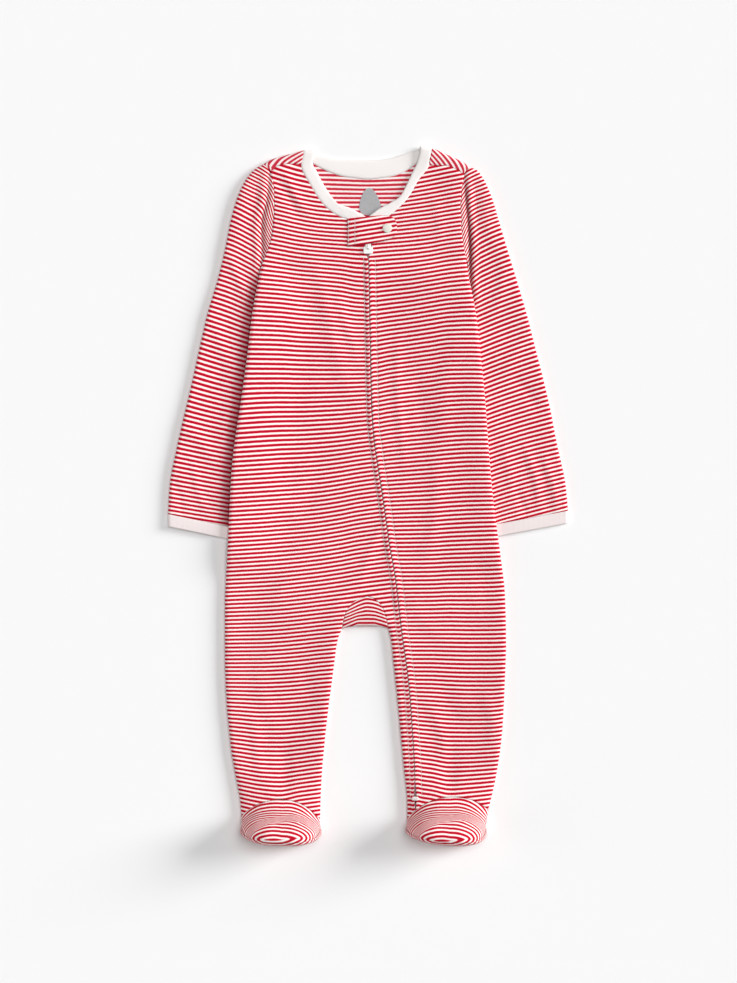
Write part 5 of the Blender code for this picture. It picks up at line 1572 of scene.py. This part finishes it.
strip = binding(necks, back_necks, seams)
fine = refined(strip, 0, counts(strip, 0, 1.2))
across = np.linspace(TUCK, 1, ACROSS)
seam_line, free_line = fine[:, 0], fine[:, 2]
bound = seam_line[:, None] + (free_line - seam_line)[:, None] * across[None, :, None]
bound[..., 2] += ROLL * (1 - np.abs(2 * across - 0.91) ** 4) + 0.06
length = run_length(fine[:, 1:2], 0)
knit = np.repeat(length[..., None], ACROSS, 1)
bound = np.concatenate([bound, np.zeros((*bound.shape[:2], 1)), knit], -1)
print(f"binding: {length.max():.0f} mm long")
binding_shell = shell("rib_binding", [bound], (0, 290, 3), wall=RIB_WALL)
sewn(binding_shell, "neck_binding", looks["rib"])

# %% [markdown]
# ## The sleeves and cuffs
#
# Each sleeve is a tube pressed flat, with a narrow rib cuff. Creases all over it would move its
# outline, so they are added to the upper face only, fading to nothing at the folds.

# %% Both sleeves and their cuffs
COUNT_SLEEVE = {"right": COUNT_SLEEVE_RIGHT, "left": COUNT_SLEEVE_LEFT}
# the painted shadow that the body's edge throws on the right sleeve: its strength and its reach
BODY_SHADE, BODY_REACH = 0.74, 7.5  # along the body's edge, on the right sleeve

for side, sign in SIGN.items():
    rings, cuff_rings = sleeve(side)
    fine = finer(closed(rings), step=1.7)
    x, y, z = fine[..., 0], fine[..., 1], fine[..., 2]
    upper = ease(z, 2.6, 4.0)
    # painted shade in the fold beside the armhole and, on the right sleeve, along the body's edge,
    # on the upper face only
    fold_z, fold_stripe, fold_shade = armhole_fold(side, x, y)
    beside = np.maximum(sign * (x - edge_x(side, y)), 0)
    if side == "right":
        body_shade = BODY_SHADE * bell(beside, 0, BODY_REACH)
        fold_shade = fold_shade + body_shade * (1 - ease(y, 185, 228))
    z = z + upper * (creases(x, y, SLEEVE_CREASES[side]) + 0.8 * waves(x + 40, y) + fold_z)
    stripe = counted(COUNT_SLEEVE[side], x, y) + fold_stripe
    fine = np.stack([x, y, z, stripe, run_length(fine, 1), upper * fold_shade], -1)
    made = shell(f"jersey_sleeve_{side}", [fine], (sign * 140, 100, 2.6), weld=0.05)
    sewn(made, f"sleeve_{side}", looks["jersey"])

    fine = finer(closed(cuff_rings), step=1.2)
    knit = run_length(fine, 1)
    fine = np.stack([fine[..., 0], fine[..., 1], fine[..., 2], 0 * knit, knit], -1)
    made = shell(f"rib_cuff_{side}", [fine], (sign * 153, -30, 2.6), wall=RIB_WALL, weld=0.05)
    sewn(made, f"cuff_{side}", looks["cuff"])

# %% [markdown]
# ## The feet
#
# The toes stand up from the floor. The foot's stripes run round it, so seen from above they close
# into rings about the tip. Counting them by distance from a short line along the tip gives those
# rings, and arcs that follow the ankle.

# %% Rings of stripes on the toes
TOE_TIP = {"right": (-89.0, -323.8), "left": (69.4, -324.8)}
FOOT_PITCH = 4.1  # width of a pair of stripes
LENS = 48.0  # the rings are where two circles of this radius and more cross


def ring_count(side, points):
    """Stripes between a point and the tip of the toes.

    Near the tip they are pointed rings, like a lens. Towards the ankle they become arcs about a
    short line along the tip, and between the two the cloth is gathered and they crowd together.
    """
    middle, tip_y = TOE_TIP[side]
    x, y = points[..., 0] - middle, points[..., 1] - tip_y
    y = y - 0.22 * np.maximum(x - 8, 0) + 0.004 * x**2
    rho = np.hypot(y, np.maximum(TOE_Z - points[..., 2], 0))
    lens = np.hypot(x, rho + LENS) - LENS
    arcs = np.hypot(np.maximum(np.abs(x) - 11, 0), rho)
    share = ease(rho, 10, 26)
    away = lens + (arcs - lens) * share
    crowd = 4.5 * ease(away - 0.3 * x, 16, 28)
    return -away / FOOT_PITCH - crowd

# %% The sides of a foot
def cheek(upper, lower, column):
    """The side of a foot, ruled between the ends of its two grids, which meet at the toe seam."""
    one, two = (along(block[:, column], np.linspace(0, 1, 9)) for block in (upper, lower))
    return ruled(one, two, np.linspace(0, 1, 6))

# %% Both feet
for side in SIGN:
    row = heels[side] if side == "left" else heels[side][::-1]
    ankle = ends_and_middle(ankle_row(side, left_coarse, right_coarse), len(row))
    upper, lower = foot(side, ankle, row)
    pocket = (FOOT[side]["x"], FOOT_SIDE + 8, 14)
    sides = [cheek(upper, lower, column) for column in (0, -1)]
    for name, blocks in (("top", [upper]), ("sole", [lower, *sides])):
        grids = []
        for block in blocks:
            fine = finer(block, step=1.5)
            stripe = ring_count(side, fine)
            if block is lower:  # the rings go on under the sole, towards the heel
                beyond = fine[..., 1] - FOOT_SIDE + 21
                stripe = stripe - ease(8 - fine[..., 2], 1, 8) * beyond / FOOT_PITCH
            grids.append(np.concatenate([fine, stripe[..., None], fine[..., :1]], -1))
        made = shell(f"jersey_foot_{name}_{side}", grids, pocket)
        sewn(made, f"foot_{name}_{side}", looks["jersey"])

# %% [markdown]
# ## The zip and its stitches
#
# The coil shows as a fine line of teeth in the slit, with a row of stitches on each side. Each
# tooth could be a mesh of its own, but one mesh of many small bars is lighter.

# %% Many small bars
BAR = ((-1, 0), (-0.82, 0.6), (-0.35, 0.97), (0.35, 0.97), (0.82, 0.6), (1, 0))  # along it, out
BAR_SIDES = 6


def joined(name, centres, ways, half, look):
    """Many small rounded bars as one mesh: each a six-sided barrel about its centre.

    ways: unit vectors along the bars; half: half of their length, width and height.
    """
    segments, profile = BAR_SIDES, np.array(BAR, float)
    turn = np.linspace(0, 2 * math.pi, segments, endpoint=False)
    ring_x = np.repeat(profile[:, 0], segments)
    ring_r = np.repeat(profile[:, 1], segments)
    angle = np.tile(turn, len(profile))
    local = np.stack([ring_x, ring_r * np.cos(angle), ring_r * np.sin(angle)], -1) * half
    ways = np.concatenate([ways, np.zeros((len(ways), 1))], 1)
    side = np.stack([-ways[:, 1], ways[:, 0], 0 * ways[:, 0]], -1)
    up = np.array([0.0, 0.0, 1.0])
    points = (
        centres[:, None]
        + local[None, :, :1] * ways[:, None]
        + local[None, :, 1:2] * side[:, None]
        + local[None, :, 2:] * up
    )
    quads = []
    for ring in range(len(profile) - 1):
        a = ring * segments + np.arange(segments)
        b = ring * segments + (np.arange(segments) + 1) % segments
        quads.append(np.stack([a, b, b + segments, a + segments], -1))
    quads = np.concatenate(quads)
    faces = (quads[None] + (np.arange(len(centres)) * len(local))[:, None, None]).reshape(-1, 4)
    made = placed(name, points.reshape(-1, 3), faces)
    made.data.materials.append(look)
    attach(made, "garment")
    print(f"{name}: {len(centres)} bars")
    return made

# %% Points at an even pace
def paced(x, y, pace):
    """Points at an even pace along a line in plan, with the unit vectors along it."""
    length = np.r_[0, np.cumsum(np.hypot(np.diff(x), np.diff(y)))]
    at = np.arange(pace / 2, length[-1], pace)
    px, py = np.interp(at, length, x), np.interp(at, length, y)
    run = [np.interp(at + 0.5, length, line) - np.interp(at - 0.5, length, line) for line in (x, y)]
    return px, py, np.stack(run, -1) / np.hypot(*run)[:, None]

# %% The teeth of the zip
ZIP_END = -289.0
TEETH_TOP = 228
TOOTH_PACE, TOOTH_DEEP = 1.15, 1.75  # from tooth to tooth, and below the cloth
TOOTH_ASIDE = 0.34  # to one side of the line and the other in turn
TOOTH = (0.62, 0.36, 0.34)  # half of its length, width and height

line_y = np.linspace(TEETH_TOP, ZIP_END + 3, 600)
line_x = read(ZIP, "y", "x", line_y)
px, py, way = paced(line_x, line_y, TOOTH_PACE)
side = np.where(np.arange(len(px)) % 2 == 0, 1.0, -1.0)
across = np.stack([-way[:, 1], way[:, 0]], -1)
place = np.stack([px, py], -1) + across * (side * TOOTH_ASIDE)[:, None]
height = front_z(px, py) - TOOTH_DEEP
coil = joined("zip_coil", raised(place, height), across, TOOTH, looks["coil"])

# %% The rows of stitches beside the zip
STITCH = (1.0, 0.2, 0.16)  # half of its length, width and height
STITCH_TOP = 226.0


def stitches(name, x, y, z, pace=2.6):
    """A row of stitches along a line, lying on a surface whose height z gives."""
    px, py, way = paced(x, y, pace)
    height = z(px, py) + 0.02
    made = joined(name, raised(np.stack([px, py], -1), height), way, STITCH, looks["thread"])


for name, off in (("topstitch_right", -4.6), ("topstitch_left", 6.4)):
    y = np.linspace(STITCH_TOP, ZIP_END + 4, 500)
    stitches(name, read(ZIP, "y", "x", y) + off, y, front_z)

# %% [markdown]
# ## The guard
#
# The guard is a small tab of the same jersey that keeps the top of the zip off the chin. It is
# sewn down at one end with two lines of stitches, and a snap holds the other. A flat plate with a
# bump would do from above, but its rim and the pull of the stitches show from the side too, so
# they are worked into the grid.

# %% The edges and the height of the guard
GUARD, GUARD_LOW = 1.5, 5.0  # the guard's thickness and the height of its underside
GUARD_EDGES = table(
    "x low high",
    (-19.6, 236.0, 262.9), (-9.9, 237.3, 263.9), (2.1, 239.1, 265.0), (12.0, 240.9, 265.8),
    (19.0, 242.4, 265.9), (23.5, 244.6, 264.0), (26.3, 247.6, 260.6), (27.6, 251.0, 256.4),
)
GUARD_PITCH, GUARD_SLANT = 4.2, 9  # a pair of stripes, and their slant in degrees
PINCH = 2.6  # length of cloth that a stitch draws in


def guard_z(x, y):
    """Height of the guard's face: level over the zip, lower where its end is sewn down."""
    return GUARD_LOW + GUARD - 1.1 * ease(-x, 7, 18.5) + 0 * y


lower_edge = np.stack([GUARD_EDGES["x"], GUARD_EDGES["low"]], -1)
guard_x = along(lower_edge, np.linspace(0, 1, 12))[:, 0]
guard_x[0], guard_x[-1] = GUARD_EDGES["x"][[0, -1]]
low, high = read(GUARD_EDGES, "x", "low", guard_x), read(GUARD_EDGES, "x", "high", guard_x)
share = np.linspace(0, 1, 6)
guard_y = low[:, None] + (high - low)[:, None] * share
face = np.full(guard_y.shape, GUARD_LOW + GUARD)
tab = finer(raised(plane(guard_x[:, None] * np.ones(len(share)), guard_y), face), step=1.0)
print("grid of the guard:", tab.shape[:2])

# %% Its rim, its stitches and its shell
x, y = tab[..., 0], tab[..., 1]
rim = np.minimum(
    np.minimum(run_length(tab, 1), run_length(tab[:, ::-1], 1)[:, ::-1]),
    np.minimum(run_length(tab, 0), run_length(tab[::-1], 0)[::-1]),
)
z = guard_z(x, y) + 0.3 * bell(x, 2, 16) - 0.55 * bell(rim, 0, 0.9)
pinch = 0.5 - 0.5 * np.cos(2 * math.pi * y / PINCH)
columns = 0.6 * bell(x, -12.6, 0.8) + 0.9 * bell(x, -18.6, 0.9)
fold = bell(y - 243.6 - 0.35 * (x - 20), 0, 0.9) * ease(x, 14, 19)
z += 0.25 * fold - 0.45 * columns * (0.4 + 0.6 * pinch)
# painted shade in the pinches of the stitches, along the rim and the fold at the snap's end, and in
# dark notches at the sewn end
shade = np.clip(0.42 * columns * pinch + 0.45 * bell(rim, 0, 0.7) * (x > 14) + 0.2 * fold, 0, 0.8)
shade = np.maximum(shade, 0.7 * (x < -18.9) * pinch)
stripe = -(y - math.tan(math.radians(GUARD_SLANT)) * x) / GUARD_PITCH
tab = np.stack([x, y, z, stripe, x, shade], -1)
guard = shell("jersey_guard", [tab], (0, 250, -50))
sewn(guard, "zip_guard", looks["jersey"])

# %% The stitches of the guard
for name, at_x in (("guard_stitch_outer", -18.6), ("guard_stitch_inner", -12.4)):
    ends = (read(GUARD_EDGES, "x", "low", at_x) + 1.2, read(GUARD_EDGES, "x", "high", at_x) - 1.2)
    y = np.linspace(float(ends[1]), float(ends[0]), 40)
    stitches(name, np.full(len(y), at_x), y, guard_z, pace=2.4)

# %% The bar of stitches at the lower end of the zip
BARTACK = (2.0, 0.85, 0.55)  # half of a bar's length, width and height

bar_x = float(read(ZIP, "y", "x", ZIP_END)) + np.array([-2.2, -1.1, 0.0, 1.1, 2.2])
bar_y = np.full(len(bar_x), ZIP_END + 1.5)
centres = raised(np.stack([bar_x, bar_y], -1), front_z(bar_x, bar_y) + 0.35)
down = np.tile((0.0, 1.0), (len(bar_x), 1))
bartack = joined("bartack", centres, down, BARTACK, looks["rib"])

# %% [markdown]
# ## A plain patch inside the neck
#
# Such suits have a size mark printed inside the back of the neck. It is left out, and a bare grey
# shape with rounded sides takes its place. A colour in the cloth's shader would do as well, but a
# thin surface of its own, a little above the cloth, keeps a clean edge.

# %% The patch
PATCH_X, PATCH_Y, PATCH_Z = 1.9, 279.0, 1.45
HALF_X, HALF_Y = 9.3, 13.0
TAPER = 0.42  # how much narrower it is at the top than in the middle
SQUARE = 0.8  # 1 is an ellipse, less is squarer

angle = np.linspace(0, 2 * math.pi, 49)
ring = np.linspace(0, 1, 8)[:, None]
patch_x = PATCH_X + ring * HALF_X * np.sign(np.cos(angle)) * np.abs(np.cos(angle)) ** SQUARE
patch_y = PATCH_Y + ring * HALF_Y * np.sign(np.sin(angle)) * np.abs(np.sin(angle)) ** SQUARE
patch_x = patch_x * (1 - TAPER * (patch_y - PATCH_Y) / HALF_Y)
flat = np.full(patch_x.shape, PATCH_Z)
grid = np.stack([patch_x, patch_y, flat, 0 * flat, patch_x], -1)
patch = shell("plain_patch", [grid], (0, 280, -10), wall=0)
patch.data.materials.append(looks["patch"])
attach(patch, "garment")

# %% [markdown]
# ## The pull
#
# The pull is a small flat square of enamelled metal with an eye for the bridge. It could keep its
# solid, but a crisper outline with a fine rounded rim catches the light as pressed metal does.

# %% A rounded outline
def rounded(x, y, wide, long, radius):
    """Points round a rectangle with rounded corners, 40 of them."""
    points = []
    for start, sx, sy in ((0, 1, 1), (90, -1, 1), (180, -1, -1), (270, 1, -1)):
        angle = np.radians(np.linspace(start, start + 90, 10))
        points.append(plane(
            x + sx * (wide / 2 - radius) + radius * np.cos(angle),
            y + sy * (long / 2 - radius) + radius * np.sin(angle),
        ))
    return np.concatenate(points)

# %% The plate of the pull
PULL_X, PULL_Z = 0.2, 5.6
PULL_Y, PULL_WIDE, PULL_LONG, PULL_CORNER = 232.85, 8.8, 6.7, 0.75
EYE_Y, EYE_SIZE, EYE_CORNER = 234.2, 2.0, 0.5
# how far in from the edge, or out from the eye's, and the height, from the bottom up and back down
rim = ((0.25, -0.5), (0.0, -0.3), (0.0, 0.3), (0.25, 0.5))
eye = ((0.15, 0.5), (0.0, 0.35), (0.0, -0.35), (0.15, -0.5))
outlines = [
    rounded(PULL_X, PULL_Y, PULL_WIDE - 2 * i, PULL_LONG - 2 * i, PULL_CORNER - i) for i, z in rim
]
outlines += [rounded(PULL_X, EYE_Y, EYE_SIZE + 2 * i, EYE_SIZE + 2 * i, EYE_CORNER) for i, z in eye]
loops = [raised(line, np.full(len(line), PULL_Z + z)) for line, (i, z) in zip(outlines, rim + eye)]
plate = closed(np.array([*loops, loops[0]]))
plate = np.concatenate([plate, np.zeros((*plate.shape[:2], 2))], -1)
pull = shell("pull_plate", [plate], (PULL_X, 230.6, PULL_Z), wall=0, weld=0.01)
level = np.zeros(len(pull.data.polygons), bool)
pull.data.polygons.foreach_set("use_smooth", level)
pull.data.materials.append(looks["enamel"])
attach(pull, "pull")
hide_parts("zip_pull")

# %% [markdown]
# ## What stays as solids
#
# The tape, the slider and the snap are hard or hidden. They could be modelled again, but their
# solids already have the right form, so they are shown as they are, with finishes of their own.

# %% Finishes for the solids
for node, look in (("zip_tape", "tape"), ("zip_slider", "enamel"), ("snap_cap", "snap")):
    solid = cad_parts[node]
    solid.data.materials.clear()
    solid.data.materials.append(looks[look])
    print(f"{node}: kept, in {looks[look].name}")

# %% [markdown]
# ## The floor
#
# The sleepsuit lies on a plain pale floor. One large square is enough, and it is no part of the
# object.

# %% The floor
FLOOR_HALF, FLOOR_Z = 3, -0.0003  # metres
corners = [
    (x * FLOOR_HALF, y * FLOOR_HALF, FLOOR_Z) for x, y in ((-1, -1), (1, -1), (1, 1), (-1, 1))
]
mesh = bpy.data.meshes.new("floor")
mesh.from_pydata(corners, [], [(0, 1, 2, 3)])
floor = bpy.data.objects.new("floor", mesh)
floor.data.materials.append(looks["floor"])
bpy.context.scene.collection.objects.link(floor)
print(f"floor: {2 * FLOOR_HALF} m wide")

# %% [markdown]
# ## The light and the camera
#
# A low soft lamp on the right draws the long soft shadows to the left, and a high one, a weak one
# on the left and a dim dome fill them. Lamps near the suit would light one end of it more than the
# other, so all three are far suns with a wide angle. The camera looks straight down through a long
# lens, so that the suit's two ends are seen as its middle is.

# %% The lamps
def lamp(name, way, spread, strength):
    """A far soft lamp in a direction, as wide as this angle in degrees seen from the floor."""
    data = bpy.data.lights.new(name, "SUN")
    data.angle, data.energy = math.radians(spread), strength
    made = bpy.data.objects.new(name, data)
    away = np.array(way, float)
    made.location = way
    tilt = math.acos(away[2] / np.linalg.norm(away))
    made.rotation_euler = (tilt, 0, math.atan2(away[1], away[0]) + math.pi / 2)
    bpy.context.scene.collection.objects.link(made)
    print(f"{name}: {90 - math.degrees(tilt):.0f} degrees above the floor")


lamp("right_lamp", (0.893, 0.273, 0.358), 26.0, 3.35)
lamp("high_lamp", (0.15, 0.12, 1.0), 34.0, 1.46)
lamp("left_lamp", (-0.95, -0.1, 0.27), 44.0, 0.6)

# %% The dome
DOME = 0.13
world = bpy.data.worlds.new("dome")
world.use_nodes = True
world.node_tree.nodes["Background"].inputs["Color"].default_value = (1, 1, 1, 1)
world.node_tree.nodes["Background"].inputs["Strength"].default_value = DOME
bpy.context.scene.world = world

# %% The camera
AWAY = 5.0  # metres from the floor
SPAN = 0.93385  # metres of floor that the longer side of the picture takes in
SENSOR = 36.0
CENTRE = (0.0005, 0.0038)

camera = bpy.data.cameras.new("camera")
camera.lens = SENSOR * AWAY / SPAN
camera.clip_end = 50
eye = bpy.data.objects.new("camera", camera)
eye.location = (*CENTRE, AWAY)
bpy.context.scene.collection.objects.link(eye)
bpy.context.scene.camera = eye
bpy.context.scene.view_settings.view_transform = "Standard"
print(f"camera: a lens of {camera.lens:.0f} mm")
